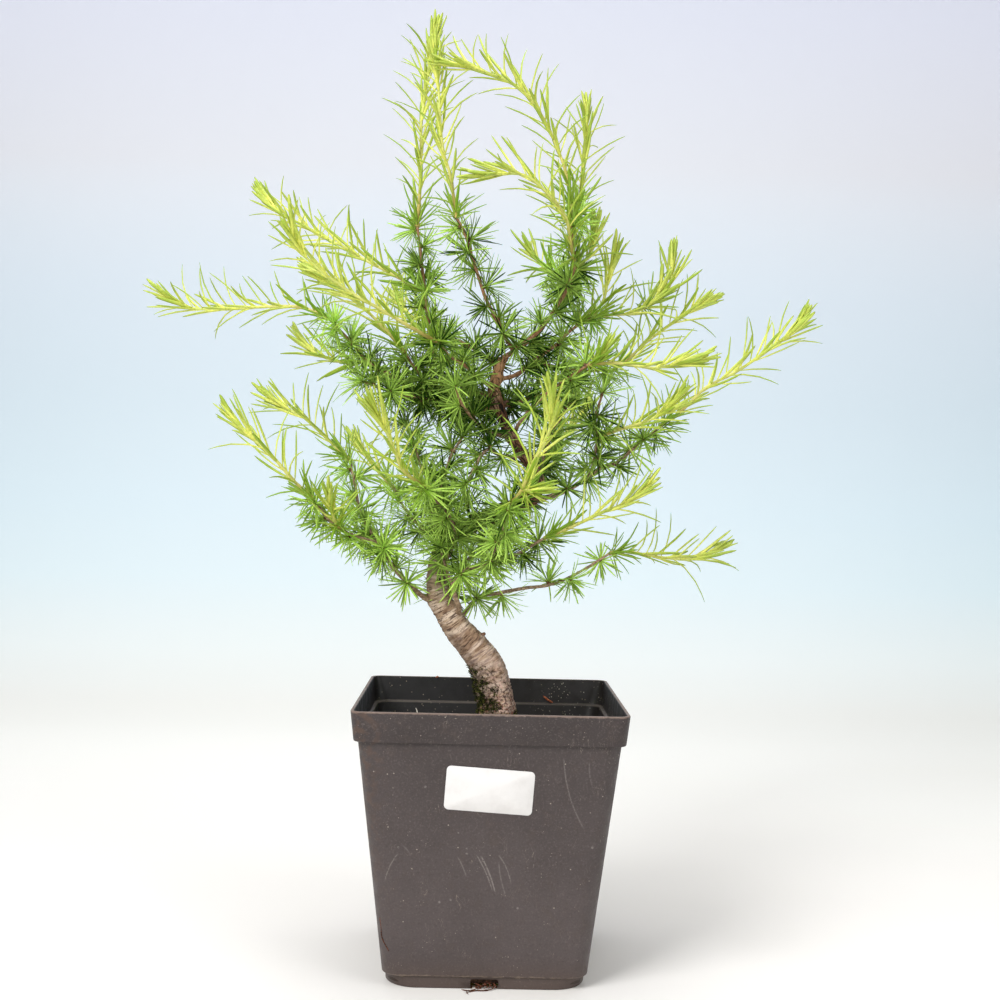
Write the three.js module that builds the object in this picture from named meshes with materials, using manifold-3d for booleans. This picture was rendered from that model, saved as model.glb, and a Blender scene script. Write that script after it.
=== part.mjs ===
// A European larch grown as a bonsai, in the square plastic pot that it was raised in.
// Millimetres, +Z up. The origin is the middle of the pot's flat underside and the front looks along -Y.
import * as THREE from "three";
import { mergeVertices } from "three/addons/utils/BufferGeometryUtils.js";
import Module from "manifold-3d";

const wasm = await Module();
wasm.setup();

const UP = new THREE.Vector3(0, 0, 1);

// A direction that no stem runs along, from which the sides of every stem are counted
const FIRST_SIDE = new THREE.Vector3(0.3, 0.9, 0.1);

// Pot
const POT_HEIGHT = 134.5;
const RIM_HALF = 65.6;
const BAND_BOTTOM = 119.8;
const BAND_BOTTOM_HALF = 64.5;
const BODY_TOP_HALF = 62.7;
const BODY_BOTTOM_HALF = 49.7;
const FOOT_HEIGHT = 6;
const FOOT_HALF = 48.4;
const WALL = 1.3;
const FLOOR = 2;
const LEDGE_HEIGHT = 121;
const EDGE = 0.5;
const CORNER_RADIUS = 9;
const CORNER_POINTS = 4;
const SLOT_WIDTH = 13.4;
const SLOT_HEIGHT = 4.6;
const SLOT_DEPTH = 12;
const DRAIN_RADIUS = 4;
const DRAIN_OFFSET = 26;
const DRAIN_SIDES = 10;

// Label on the front of the pot
const LABEL = { width: 41.7, height: 20.5, thickness: 0.5, corner: 2, across: 0.2, up: 97, turn: 3.5 };

// Soil
const SOIL_TOP = 108.4;
const SOIL_WAVE = { height: 1.1, across: 9, back: 11 };
const SOIL_MOUND = { height: 3, width: 24 };
const SOIL_RINGS = 5;

// Space left between pieces that touch
const GAP = 0.3;

// The front view that the stems are drawn on: the eye's place, and its distance from the middle of the pot.
// The pot stands a little turned in that view, and lower than the view's zero.
const EYE = { x: 3, z: 233, distance: 704 };
const VIEW_SHIFT = { x: -0.85, z: 2.5 };
const VIEW_TURN = -0.77;

// Rosettes: a bud with five needles near its top and five round its side, leaning by degrees
const BUD_SIDES = 5;
const BUD_RADIUS = 1.05;
const BUD_FOOT = -1;
const BUD_WAIST = 0.3;
const BUD_SHOULDER = 1.3;
const BUD_TOP = 1.8;
const ROSETTE_LENGTH = 13.5;
const ROSETTE_SPACING = 18.9;
const SPACING_VARIATION = 0.1;
const ROSETTE_END = 4;
const ROSETTE_LEAN = 75;
const ROSETTE_TOP_LEAN = 36;
const ROSETTE_SIDE_LEAN = 78;

// Long shoots: whorls of needles wind up the stem and close into a tuft at its end
const SHOOT_SIDES = 4;
const SHOOT_BARE = 4;
const SHOOT_LENGTH = 18;
const WHORL_SPACING = 8.6;
const WHORL_HEIGHT = 1.2;
const WHORL_TWIST = 33;
const SHOOT_LEAN = 52;
const TUFT_REACH = 13;
const TUFT_LEAN = 17;

// Needles: each strays by some degrees, and by more, and a little shorter, at every further try
const NEEDLE_RADIUS = 0.65;
const NEEDLE_VARIATION = [0.92, 1.05];
const NEEDLE_STRAY = 5;
const STRAY_PER_TRY = 3;
const SHORTER_PER_TRY = 0.02;
const TRIES = 12;
const CLEARANCE = 0.45;
const GOLDEN_ANGLE = 137.5;
const SEED = 24;

// Stems
const STEM_STEP = 15;
const TWIG_SIDES = 5;
const TRUNK_SIDES = 11;
const TRUNK_STEP = 9;
const TRUNK_RIDGES = [{ depth: 0.07, count: 3, wind: 5 }, { depth: 0.04, count: 5, wind: -9 }];

// Trunk centre line as [across, up, back, radius], from the root ball to where the leader starts
const TRUNK = [
  [5, 78, 0, 8], [5, 98, 0, 10.5], [5, 107, 0, 11], [4, 114, 0, 10], [4, 123, 0, 9.3], [2, 133, 0, 8.9],
  [0, 144, 0, 8.5], [-5, 153, 0, 8], [-16, 165, -1, 6.9], [-23, 175, -2, 6.1], [-27, 183, -2, 5.6],
  [-28, 191, -1, 5], [-27, 201, 1, 4.7], [-24, 210, 4, 4.5], [-12, 218, 8, 4.3], [3, 226, 9, 4.2],
  [16, 231, 8, 4.1], [22.5, 238, 6.5, 4], [22, 246, 6, 3.8], [16, 255, 5, 3.6], [9.5, 264, 3, 3.6],
  [5, 272, 2, 3.5], [1.3, 283, 0, 3.3], [-0.6, 290, 0, 3.1], [1, 297, 1, 2.7], [3.5, 305, 2, 2.1],
];

// Cut-off twigs on the lower trunk: share of the trunk's length, degrees round it, and length past the bark
const STUBS = [
  { share: 0.3, turn: 200, length: 3 },
  { share: 0.36, turn: 330, length: 4 },
  { share: 0.44, turn: 175, length: 3 },
  { share: 0.5, turn: 10, length: 3 },
];
const STUB_RADIUS = [1.7, 1.1];
const STUB_RISE = 0.35;
const STUB_SIDES = 6;

// Brown leafy twigs: every stem grows from the nearest point of the stems named by "from"
const TWIGS = {
  leader: [
    { from: "trunk", radius: [1.9, 1.1], bare: 6,
      points: [[3, 305, 2], [9, 309, 3], [18, 316, 4], [26, 325, 5], [34, 338, 5], [39, 352, 5],
        [38, 368, 5], [37, 385, 4]] },
  ],
  twig_left_high: [
    { from: "trunk", radius: [1.9, 1], bare: 8,
      points: [[-1, 279, 0], [-17, 278, 6], [-29, 282, 10], [-43, 289, 14], [-65, 302, 20], [-74, 311, 22],
        [-87, 324, 26]] },
    { from: "twig_left_high", radius: [1.2, 0.9], crowned: true, bare: 4,
      points: [[-29, 282, 10], [-40, 284, 0], [-51, 286, -9], [-67, 291, -17]] },
    { from: "twig_left_high", radius: [1.2, 0.9], bare: 5,
      points: [[-26, 281, 9], [-38, 294, 4], [-47, 307, -1]] },
  ],
  twig_left_inner: [
    { from: "trunk", radius: [1.6, 1], bare: 6,
      points: [[-1, 289, 0], [-10, 296, -8], [-16, 301, -14], [-22, 304, -20], [-31, 313, -30]] },
  ],
  twig_upright_left: [
    { from: "trunk", radius: [1.7, 1], bare: 12,
      points: [[-1, 284, 0], [-18, 291, 8], [-30, 300, 9], [-34, 313, 10], [-36, 328, 11], [-38, 343, 12],
        [-40, 359, 12], [-42, 372, 12]] },
  ],
  twig_upright_mid: [
    { from: "leader", radius: [1.6, 1], bare: 5,
      points: [[9, 309, 3], [4, 317, -1], [1, 323, -4], [-6, 336, -8], [-12, 353, -12], [-18, 370, -15],
        [-22, 377, -16]] },
  ],
  twig_left_low: [
    { from: "trunk", radius: [2.1, 1], bare: 24,
      points: [[-25, 177, -2], [-34, 181, -5], [-41, 187, -9], [-52, 198, -15], [-57, 207, -18],
        [-71, 212, -24], [-81, 217, -28], [-92, 230, -32]] },
  ],
  twig_left_low_back: [
    { from: "twig_left_low", radius: [1.5, 1], bare: 5,
      points: [[-52, 198, -15], [-61, 212, -8], [-68, 224, 0], [-71, 238, 6], [-74, 251, 12]] },
  ],
  twig_front_left: [
    { from: "trunk", radius: [1.7, 1], bare: 6,
      points: [[-27, 195, 0], [-22, 204, -10], [-19, 214, -20], [-21, 221, -25], [-29, 231, -34],
        [-36, 238, -42]] },
  ],
  twig_inner_left: [
    { from: "trunk", radius: [1.6, 0.9], crowned: true, bare: 5,
      points: [[-24, 210, 4], [-30, 222, -2], [-27, 234, -8], [-25, 243, -12], [-22, 254, -16],
        [-17, 263, -20]] },
    { from: "twig_inner_left", radius: [1.1, 0.9], crowned: true, bare: 4,
      points: [[-28, 230, -6], [-36, 246, -2], [-41, 259, 2], [-45, 269, 6]] },
  ],
  twig_inner_front: [
    { from: "trunk", radius: [1.6, 1], crowned: true, bare: 8,
      points: [[6, 261, 2], [-2, 267, -7], [-10, 273, -15], [-17, 281, -23], [-20, 289, -30]] },
  ],
  twig_inner_mid: [
    { from: "trunk", radius: [1.5, 0.9], crowned: true, bare: 6,
      points: [[12, 252, 4], [4, 255, -7], [-3, 258, -15], [-9, 250, -26], [-13, 241, -34]] },
  ],
  twig_right_high: [
    { from: "trunk", radius: [1.8, 1], bare: 8,
      points: [[1, 293, 1], [11, 297, 8], [22, 306, 16], [30, 312, 20], [38, 320, 24], [49, 328, 27]] },
    { from: "twig_right_high", radius: [1.2, 0.9], bare: 5,
      points: [[20, 304, 14], [38, 300, 27], [60, 300, 36]] },
  ],
  twig_right_mid: [
    { from: "trunk", radius: [1.7, 1], bare: 8,
      points: [[6, 262, 2], [13, 272, -6], [24, 285, -14], [31, 291, -18], [38, 296, -20],
        [48, 303, -22]] },
  ],
  twig_right_low: [
    { from: "trunk", radius: [2.1, 1], bare: 24,
      points: [[17, 232, 8], [28, 234, 10], [40, 239, 12], [54, 249, 12], [62, 252, 12], [77, 265, 12],
        [85, 272, 12]] },
    { from: "twig_right_low", radius: [1.3, 0.9], crowned: true, bare: 5,
      points: [[50, 246, 12], [52, 255, 2], [53, 265, -6], [52, 276, -12], [55, 287, -17]] },
  ],
  twig_inner_right: [
    { from: "trunk", radius: [1.5, 0.9], crowned: true, bare: 8,
      points: [[20, 241, 6], [26, 256, 18], [31, 269, 28], [36, 279, 34], [42, 291, 40]] },
  ],
  twig_right_front: [
    { from: "trunk", radius: [1.6, 0.9], bare: 26,
      points: [[-17, 172, -1], [-16, 175, -9], [-19, 186, -13], [-16, 193, -16], [-10, 197, -18],
        [-3, 198, -19], [7, 201, -21], [19, 208, -23], [27, 213, -24]] },
    { from: "twig_right_front", radius: [1.1, 0.9], crowned: true, bare: 14,
      points: [[-19, 186, -13], [-23, 196, -12], [-26, 206, -14]] },
  ],
  twig_right_lowest: [
    { from: "trunk", radius: [1.8, 0.9], bare: 22,
      points: [[-19, 168, 0], [-13, 174, 8], [-6, 182, 14], [3, 184, 19], [17, 187, 25], [30, 189, 29],
        [42, 194, 33], [61, 206, 39]] },
  ],
  twig_front: [
    { from: "twig_right_front", radius: [1.4, 1], bare: 5,
      points: [[-3, 198, -19], [2, 206, -31], [6, 217, -42], [9, 230, -52]] },
  ],
  twig_back_top: [
    { from: "leader", radius: [1.4, 0.9], bare: 5,
      points: [[36, 343, 5], [38, 344, 22], [34, 346, 42], [28, 350, 58]] },
  ],
  twig_back_high: [
    { from: "trunk", radius: [1.5, 0.9], bare: 6,
      points: [[1, 300, 2], [-6, 306, 20], [-16, 312, 38], [-27, 317, 54]] },
  ],
  twig_back_left: [
    { from: "trunk", radius: [1.6, 0.9], crowned: true, bare: 6,
      points: [[-1, 283, 0], [-10, 276, 20], [-24, 280, 36], [-40, 287, 50]] },
  ],
  twig_back_right: [
    { from: "trunk", radius: [1.6, 0.9], crowned: true, bare: 6,
      points: [[0, 279, 0], [9, 282, 18], [22, 286, 38], [36, 290, 54]] },
  ],
  twig_back_mid: [
    { from: "trunk", radius: [1.6, 0.9], bare: 6,
      points: [[14, 230, 8], [18, 236, 26], [24, 246, 44], [30, 257, 60]] },
  ],
  twig_back_low: [
    { from: "trunk", radius: [1.6, 0.9], bare: 6,
      points: [[-25, 207, 3], [-34, 215, 20], [-44, 225, 36], [-51, 237, 50]] },
  ],
  twig_back_lowest: [
    { from: "trunk", radius: [1.5, 0.9], crowned: true, bare: 8,
      points: [[-25, 179, -2], [-22, 186, 16], [-15, 197, 32], [-8, 206, 46], [2, 213, 60]] },
  ],
};

// Yellow-green long shoots: the last point of each is where its furthest needles end
const SHOOTS = {
  shoot_top_arch: [
    { from: "leader", radius: [1, 0.75],
      points: [[37, 384, 4], [34, 401, 2], [30, 412, 0], [25, 423, -3], [13, 441, -10], [-2, 449, -16],
        [-13, 452, -22], [-29, 454, -30]] },
  ],
  shoot_top_right: [
    { from: "leader", radius: [1, 0.75],
      points: [[38, 376, 5], [41, 386, 10], [42, 398, 13], [43, 410, 16], [44, 430, 20], [43, 446, 22]] },
  ],
  shoot_inner_arch: [
    { from: "leader", radius: [1, 0.75],
      points: [[39, 356, 5], [37, 366, -6], [34, 379, -17], [22, 393, -28], [14, 398, -33],
        [0, 400, -40], [-15, 397, -46]] },
  ],
  shoot_top_short: [
    { from: "leader", radius: [0.9, 0.75],
      points: [[39, 352, 5], [46, 358, 13], [49, 371, 19], [49, 385, 24]] },
  ],
  shoot_top_left: [
    { from: "twig_upright_left", radius: [1.1, 0.75],
      points: [[-42, 372, 12], [-41, 393, 10], [-41, 410, 8], [-41, 428, 6], [-39, 441, 5], [-38, 455, 3],
        [-36, 468, 2], [-32, 486, 0]] },
  ],
  shoot_top_mid: [
    { from: "twig_upright_mid", radius: [1, 0.75],
      points: [[-22, 377, -16], [-26, 400, -18], [-29, 409, -19], [-31, 421, -20], [-32, 435, -20],
        [-33, 446, -20], [-35, 462, -20], [-36, 476, -21]] },
  ],
  shoot_left_back: [
    { from: "twig_upright_left", radius: [1.1, 0.75],
      points: [[-38, 338, 12], [-54, 347, 24], [-68, 354, 34], [-80, 361, 42], [-92, 366, 48],
        [-102, 372, 52], [-113, 377, 56], [-121, 386, 58], [-128, 396, 60]] },
  ],
  shoot_left_high: [
    { from: "twig_left_high", radius: [1.1, 0.75],
      points: [[-87, 324, 26], [-101, 329, 29], [-118, 329, 30], [-143, 327, 29], [-160, 328, 26],
        [-171, 334, 22], [-179, 345, 18]] },
  ],
  shoot_left_behind: [
    { from: "twig_left_high", radius: [0.9, 0.75],
      points: [[-65, 302, 20], [-78, 301, 34], [-94, 306, 44], [-100, 312, 48], [-104, 323, 54]] },
  ],
  shoot_left_mid: [
    { from: "twig_left_high", radius: [1, 0.75],
      points: [[-47, 307, -1], [-55, 316, -6], [-68, 329, -12], [-79, 337, -18], [-92, 345, -24],
        [-107, 352, -30]] },
  ],
  shoot_left_front: [
    { from: "twig_left_inner", radius: [1.1, 0.75],
      points: [[-31, 313, -30], [-44, 320, -40], [-60, 329, -48], [-75, 337, -54], [-97, 353, -62],
        [-105, 364, -68], [-107, 386, -80]] },
  ],
  shoot_left_low: [
    { from: "twig_left_low", radius: [1.1, 0.75],
      points: [[-92, 230, -32], [-103, 240, -36], [-113, 251, -40], [-124, 261, -42], [-135, 272, -44],
        [-138, 286, -46]] },
  ],
  shoot_low_front: [
    { from: "twig_left_low", radius: [0.9, 0.75],
      points: [[-79, 216, -27], [-82, 222, -38], [-84, 231, -50], [-83, 242, -62]] },
  ],
  shoot_low_back: [
    { from: "twig_left_low_back", radius: [1, 0.75],
      points: [[-74, 251, 12], [-83, 259, 16], [-93, 268, 20], [-99, 273, 22], [-110, 278, 26],
        [-117, 283, 28], [-127, 290, 30]] },
  ],
  shoot_front_left: [
    { from: "twig_front_left", radius: [1.1, 0.75],
      points: [[-36, 238, -42], [-47, 247, -54], [-50, 254, -60], [-57, 269, -70], [-63, 279, -78],
        [-70, 289, -86]] },
  ],
  shoot_front: [
    { from: "twig_front", radius: [1.1, 0.75],
      points: [[9, 230, -52], [14, 236, -58], [21, 253, -68], [26, 262, -74], [30, 278, -82],
        [26, 300, -92]] },
    { from: "shoot_front", radius: [0.9, 0.75],
      points: [[14, 238, -58], [24, 238, -63], [36, 243, -68]] },
  ],
  shoot_right_high: [
    { from: "twig_right_high", radius: [1, 0.75],
      points: [[49, 328, 27], [62, 329, 30], [70, 330, 32], [80, 336, 34], [84, 344, 35], [81, 357, 36]] },
    { from: "shoot_right_high", radius: [0.9, 0.75],
      points: [[76, 333, 33], [88, 343, 41], [90, 357, 46], [90, 371, 48]] },
  ],
  shoot_right_short: [
    { from: "twig_right_high", radius: [0.9, 0.75],
      points: [[42, 323, 25], [54, 335, 34], [57, 347, 38], [60, 361, 41], [60, 373, 43]] },
  ],
  shoot_right_back: [
    { from: "twig_right_high", radius: [1, 0.75],
      points: [[60, 300, 36], [68, 306, 40], [77, 315, 44], [96, 329, 51], [107, 336, 54],
        [120, 340, 58]] },
  ],
  shoot_right_mid: [
    { from: "twig_right_mid", radius: [1, 0.75],
      points: [[48, 303, -22], [62, 304, -26], [82, 302, -32], [92, 304, -35], [102, 306, -38],
        [115, 316, -43]] },
    { from: "shoot_right_mid", radius: [0.9, 0.75],
      points: [[50, 303, -23], [57, 312, -20], [66, 321, -16]] },
  ],
  shoot_right_low: [
    { from: "twig_right_low", radius: [1.1, 0.75],
      points: [[85, 272, 12], [96, 280, 12], [108, 292, 12], [122, 300, 12], [137, 310, 10],
        [151, 321, 8], [158, 330, 6], [165, 339, 4]] },
  ],
  shoot_right_inner: [
    { from: "twig_right_low", radius: [0.9, 0.75],
      points: [[53, 266, -6], [68, 271, -14], [77, 274, -20], [85, 278, -25], [95, 289, -32],
        [98, 299, -38]] },
  ],
  shoot_right_front: [
    { from: "twig_right_front", radius: [1, 0.75],
      points: [[27, 213, -24], [41, 219, -25], [54, 226, -25], [66, 231, -25], [76, 238, -24],
        [87, 252, -22]] },
  ],
  shoot_right_lowest: [
    { from: "twig_right_lowest", radius: [1, 0.75],
      points: [[61, 206, 39], [70, 207, 41], [84, 205, 45], [104, 204, 50], [116, 209, 54],
        [126, 215, 58]] },
  ],
  shoot_back_top: [
    { from: "twig_back_top", radius: [0.9, 0.75], points: [[28, 350, 58], [20, 356, 74], [14, 366, 96]] },
  ],
  shoot_back_high: [
    { from: "twig_back_high", radius: [1, 0.75],
      points: [[-27, 317, 54], [-38, 322, 70], [-48, 330, 88], [-54, 342, 108]] },
  ],
  shoot_back_mid: [
    { from: "twig_back_mid", radius: [1, 0.75],
      points: [[30, 257, 60], [36, 266, 76], [44, 276, 94], [50, 290, 112]] },
  ],
  shoot_back_low: [
    { from: "twig_back_low", radius: [1, 0.75],
      points: [[-51, 237, 50], [-60, 246, 66], [-68, 256, 82], [-76, 268, 98]] },
  ],
};

// Materials from the real thing's colours
const MATERIALS = {
  pot: new THREE.MeshStandardMaterial({ color: 0x554e4b, roughness: 0.55, metalness: 0 }),
  label: new THREE.MeshStandardMaterial({ color: 0xf2f2ee, roughness: 0.5, metalness: 0 }),
  soil: new THREE.MeshStandardMaterial({ color: 0x3d2f26, roughness: 1, metalness: 0 }),
  bark: new THREE.MeshStandardMaterial({ color: 0x84705f, roughness: 0.9, metalness: 0 }),
  rosettes: new THREE.MeshStandardMaterial({ color: 0x5f9a38, roughness: 0.6, metalness: 0 }),
  shoot: new THREE.MeshStandardMaterial({ color: 0xb4d455, roughness: 0.6, metalness: 0 }),
};

// The same random numbers at every run
THREE.MathUtils.seededRandom(SEED);
const between = (low, high) => THREE.MathUtils.lerp(low, high, THREE.MathUtils.seededRandom());
const radians = THREE.MathUtils.degToRad;

// A closed triangle mesh as a solid, and back
function toSolid(geometry) {
  const bare = geometry.clone();
  bare.deleteAttribute("normal");
  bare.deleteAttribute("uv");
  const merged = mergeVertices(bare, 1e-4);
  return new wasm.Manifold(
    new wasm.Mesh({
      numProp: 3,
      vertProperties: new Float32Array(merged.attributes.position.array),
      triVerts: new Uint32Array(merged.index.array),
    }),
  );
}

function toGeometry(solid) {
  const mesh = solid.getMesh();
  const geometry = new THREE.BufferGeometry();
  geometry.setAttribute("position", new THREE.BufferAttribute(mesh.vertProperties, 3));
  geometry.setIndex(new THREE.BufferAttribute(mesh.triVerts, 1));
  const flat = geometry.toNonIndexed();
  flat.computeVertexNormals();
  return flat;
}

function joined(solids) {
  return solids.reduce((whole, piece) => whole.add(piece));
}

// The largest body of a solid, without the scraps that a cut leaves
function largestBody(solid) {
  return solid.decompose().reduce((a, b) => (b.volume() > a.volume() ? b : a));
}

// A closed skin over rings of equal count, with a fan at each end. A side face named "ring side", or an
// end face named "end side", is drawn up to the point that raised gives for it.
function loft(rings, startCentre, endCentre, raised = {}) {
  const count = rings[0].length;
  const points = rings.flat().concat([startCentre, endCentre]);
  const start = points.length - 2;
  const end = points.length - 1;
  const lastRing = (rings.length - 1) * count;
  const faces = [];
  const addFace = (name, corners) => {
    const peak = raised[name] ? points.push(raised[name]) - 1 : corners[0];
    corners.forEach((corner, i) => {
      const following = corners[(i + 1) % corners.length];
      if (corner !== peak && following !== peak) faces.push(corner, following, peak);
    });
  };
  for (let i = 0; i < count; i += 1) {
    const next = (i + 1) % count;
    for (let ring = 0; ring < rings.length - 1; ring += 1) {
      const low = ring * count;
      const high = low + count;
      addFace(`${ring} ${i}`, [low + i, low + next, high + next, high + i]);
    }
    addFace("start", [start, next, i]);
    addFace(`end ${i}`, [end, lastRing + i, lastRing + next]);
  }
  const geometry = new THREE.BufferGeometry().setFromPoints(points);
  geometry.setIndex(faces);
  return geometry;
}

// Outline of the pot and the soil at one height: a square with round corners
function roundedSquare(half, z, radius = CORNER_RADIUS) {
  const points = [];
  for (let corner = 0; corner < 4; corner += 1) {
    for (let i = 0; i < CORNER_POINTS; i += 1) {
      const angle = (Math.PI / 2) * (i / (CORNER_POINTS - 1));
      const x = half - radius + radius * Math.cos(angle);
      const y = half - radius + radius * Math.sin(angle);
      points.push(new THREE.Vector3(x, y, z).applyAxisAngle(UP, (Math.PI / 2) * corner));
    }
  }
  return points;
}

// Half width of the pot's body outside, at one height
function bodyHalf(z) {
  return THREE.MathUtils.mapLinear(z, FOOT_HEIGHT, BAND_BOTTOM, BODY_BOTTOM_HALF, BODY_TOP_HALF);
}

function makePot() {
  const insideFloor = FOOT_HEIGHT + WALL;
  const insideCorner = CORNER_RADIUS - WALL;
  const rings = [
    roundedSquare(FOOT_HALF - EDGE, 0),
    roundedSquare(FOOT_HALF, EDGE),
    roundedSquare(FOOT_HALF, FOOT_HEIGHT),
    roundedSquare(BODY_BOTTOM_HALF - EDGE, FOOT_HEIGHT),
    roundedSquare(BODY_BOTTOM_HALF, FOOT_HEIGHT + EDGE),
    roundedSquare(BODY_TOP_HALF, BAND_BOTTOM),
    roundedSquare(BAND_BOTTOM_HALF, BAND_BOTTOM + EDGE),
    roundedSquare(RIM_HALF, POT_HEIGHT - EDGE),
    roundedSquare(RIM_HALF - EDGE, POT_HEIGHT),
    roundedSquare(RIM_HALF - WALL, POT_HEIGHT, insideCorner),
    roundedSquare(BAND_BOTTOM_HALF - WALL, LEDGE_HEIGHT, insideCorner),
    roundedSquare(bodyHalf(LEDGE_HEIGHT) - WALL, LEDGE_HEIGHT - EDGE, insideCorner),
    roundedSquare(bodyHalf(insideFloor) - WALL, insideFloor, insideCorner),
    roundedSquare(FOOT_HALF - WALL, insideFloor, insideCorner),
    roundedSquare(FOOT_HALF - WALL, FLOOR, insideCorner),
  ];
  let pot = toSolid(loft(rings, new THREE.Vector3(), new THREE.Vector3(0, 0, FLOOR)));
  for (let side = 0; side < 4; side += 1) {
    const turn = (Math.PI / 2) * side;
    const slot = new THREE.BoxGeometry(SLOT_WIDTH, 2 * SLOT_DEPTH, 2 * SLOT_HEIGHT);
    slot.translate(0, -FOOT_HALF, 0).rotateZ(turn);
    const drain = new THREE.CylinderGeometry(DRAIN_RADIUS, DRAIN_RADIUS, 4 * FLOOR, DRAIN_SIDES);
    drain.rotateX(Math.PI / 2).translate(DRAIN_OFFSET, DRAIN_OFFSET, 0).rotateZ(turn);
    pot = pot.subtract(toSolid(slot)).subtract(toSolid(drain));
  }
  return pot;
}

// The label lies on the pot's sloping front
function makeLabel() {
  const { width, height, thickness, corner, across, up, turn } = LABEL;
  const x = width / 2 - corner;
  const y = height / 2 - corner;
  const outline = new THREE.Shape();
  outline.absarc(x, -y, corner, -Math.PI / 2, 0);
  outline.absarc(x, y, corner, 0, Math.PI / 2);
  outline.absarc(-x, y, corner, Math.PI / 2, Math.PI);
  outline.absarc(-x, -y, corner, Math.PI, 1.5 * Math.PI);
  const settings = { depth: thickness, bevelEnabled: false, curveSegments: 2 };
  const label = new THREE.ExtrudeGeometry(outline, settings);
  const slope = Math.atan2(BODY_TOP_HALF - BODY_BOTTOM_HALF, BAND_BOTTOM - FOOT_HEIGHT);
  label.translate(0, 0, GAP).rotateZ(-radians(turn)).rotateX(Math.PI / 2 + slope);
  return toSolid(label.translate(across, -bodyHalf(up), up));
}

function soilHeight(x, y) {
  const wave = SOIL_WAVE.height * Math.sin(x / SOIL_WAVE.across) * Math.cos(y / SOIL_WAVE.back);
  const fromTrunk = Math.hypot(x - TRUNK[0][0], y);
  return SOIL_TOP + wave + SOIL_MOUND.height * Math.exp(-((fromTrunk / SOIL_MOUND.width) ** 2));
}

// The soil fills the pot's inside up to SOIL_TOP, with a plain hole for the trunk
function makeSoil(trunkRoom) {
  const inset = WALL + GAP;
  const corner = CORNER_RADIUS - inset;
  const shoulder = FOOT_HEIGHT + inset;
  const topHalf = bodyHalf(SOIL_TOP) - inset;
  const rings = [
    roundedSquare(FOOT_HALF - inset, FLOOR + GAP, corner),
    roundedSquare(FOOT_HALF - inset, shoulder, corner),
    roundedSquare(bodyHalf(shoulder) - inset, shoulder, corner),
    roundedSquare(topHalf, SOIL_TOP, corner),
  ];
  for (let left = SOIL_RINGS - 1; left > 0; left -= 1) {
    const share = left / SOIL_RINGS;
    const ring = roundedSquare(topHalf * share, SOIL_TOP, corner * share);
    rings.push(ring.map((point) => point.setZ(soilHeight(point.x, point.y))));
  }
  const middle = new THREE.Vector3(0, 0, soilHeight(0, 0));
  return toSolid(loft(rings, new THREE.Vector3(0, 0, FLOOR + GAP), middle)).subtract(trunkRoom);
}

// A point of the front view, moved along the line of sight to its own depth and set on the pot
function seenAt([across, up, back]) {
  const scale = 1 + back / EYE.distance;
  const x = EYE.x + (across - EYE.x) * scale + VIEW_SHIFT.x;
  const z = EYE.z + (up - EYE.z) * scale + VIEW_SHIFT.z;
  return new THREE.Vector3(x, back, z).applyAxisAngle(UP, radians(VIEW_TURN));
}

// Rings round a stem at some distances along it, each turned by its twist and moved on by its overrun
function ringsAlong({ curve, sides, radiusAt }, stations, extra = 0) {
  const normal = FIRST_SIDE.clone();
  return stations.map(({ share, twist = 0, overrun = 0 }) => {
    const tangent = curve.getTangentAt(share);
    const centre = curve.getPointAt(share).addScaledVector(tangent, overrun);
    normal.projectOnPlane(tangent).normalize();
    const ring = [];
    for (let side = 0; side < sides; side += 1) {
      const angle = twist + (2 * Math.PI * side) / sides;
      const out = normal.clone().applyAxisAngle(tangent, angle);
      ring.push(out.multiplyScalar(radiusAt(share, angle) + extra).add(centre));
    }
    return ring;
  });
}

function centreOf(points) {
  return points.reduce((sum, point) => sum.add(point), new THREE.Vector3()).divideScalar(points.length);
}

// A tube along a stem, grown by extra on every side and at both ends
function tube(stem, extra = 0) {
  const stations = [];
  for (let i = 0; i <= stem.steps; i += 1) {
    stations.push({ share: (stem.end * i) / stem.steps });
  }
  stations[0].overrun = -extra;
  stations[stem.steps].overrun = extra;
  const rings = ringsAlong(stem, stations, extra);
  return toSolid(loft(rings, centreOf(rings[0]), centreOf(rings[stem.steps])));
}

// Every stem so far, and every straight piece so far, so that one node keeps clear of the others
const stems = [];
const placed = [];

function addStem(stem) {
  const { node, kind, curve, end, radiusAt } = stem;
  stem.length = curve.getLength();
  stem.steps = Math.max(2, Math.round((end * stem.length) / stem.step));
  stems.push(stem);
  for (let i = 0; i < stem.steps; i += 1) {
    const share = (end * i) / stem.steps;
    const next = (end * (i + 1)) / stem.steps;
    const ends = { start: curve.getPointAt(share), end: curve.getPointAt(next) };
    placed.push({ node, group: kind, radius: radiusAt(share, 0), ...ends });
  }
  const tip = { start: curve.getPointAt(end), end: curve.getPoint(1) };
  placed.push({ node, group: kind, radius: NEEDLE_RADIUS, ...tip });
  return stem;
}

// The nearest point to a place on the stems of one node
function nearestOn(node, place) {
  const points = stems.filter((stem) => stem.node === node)
    .flatMap((stem) => stem.curve.getSpacedPoints(Math.ceil(stem.length)));
  return points.reduce((a, b) => (b.distanceTo(place) < a.distanceTo(place) ? b : a)).clone();
}

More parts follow.
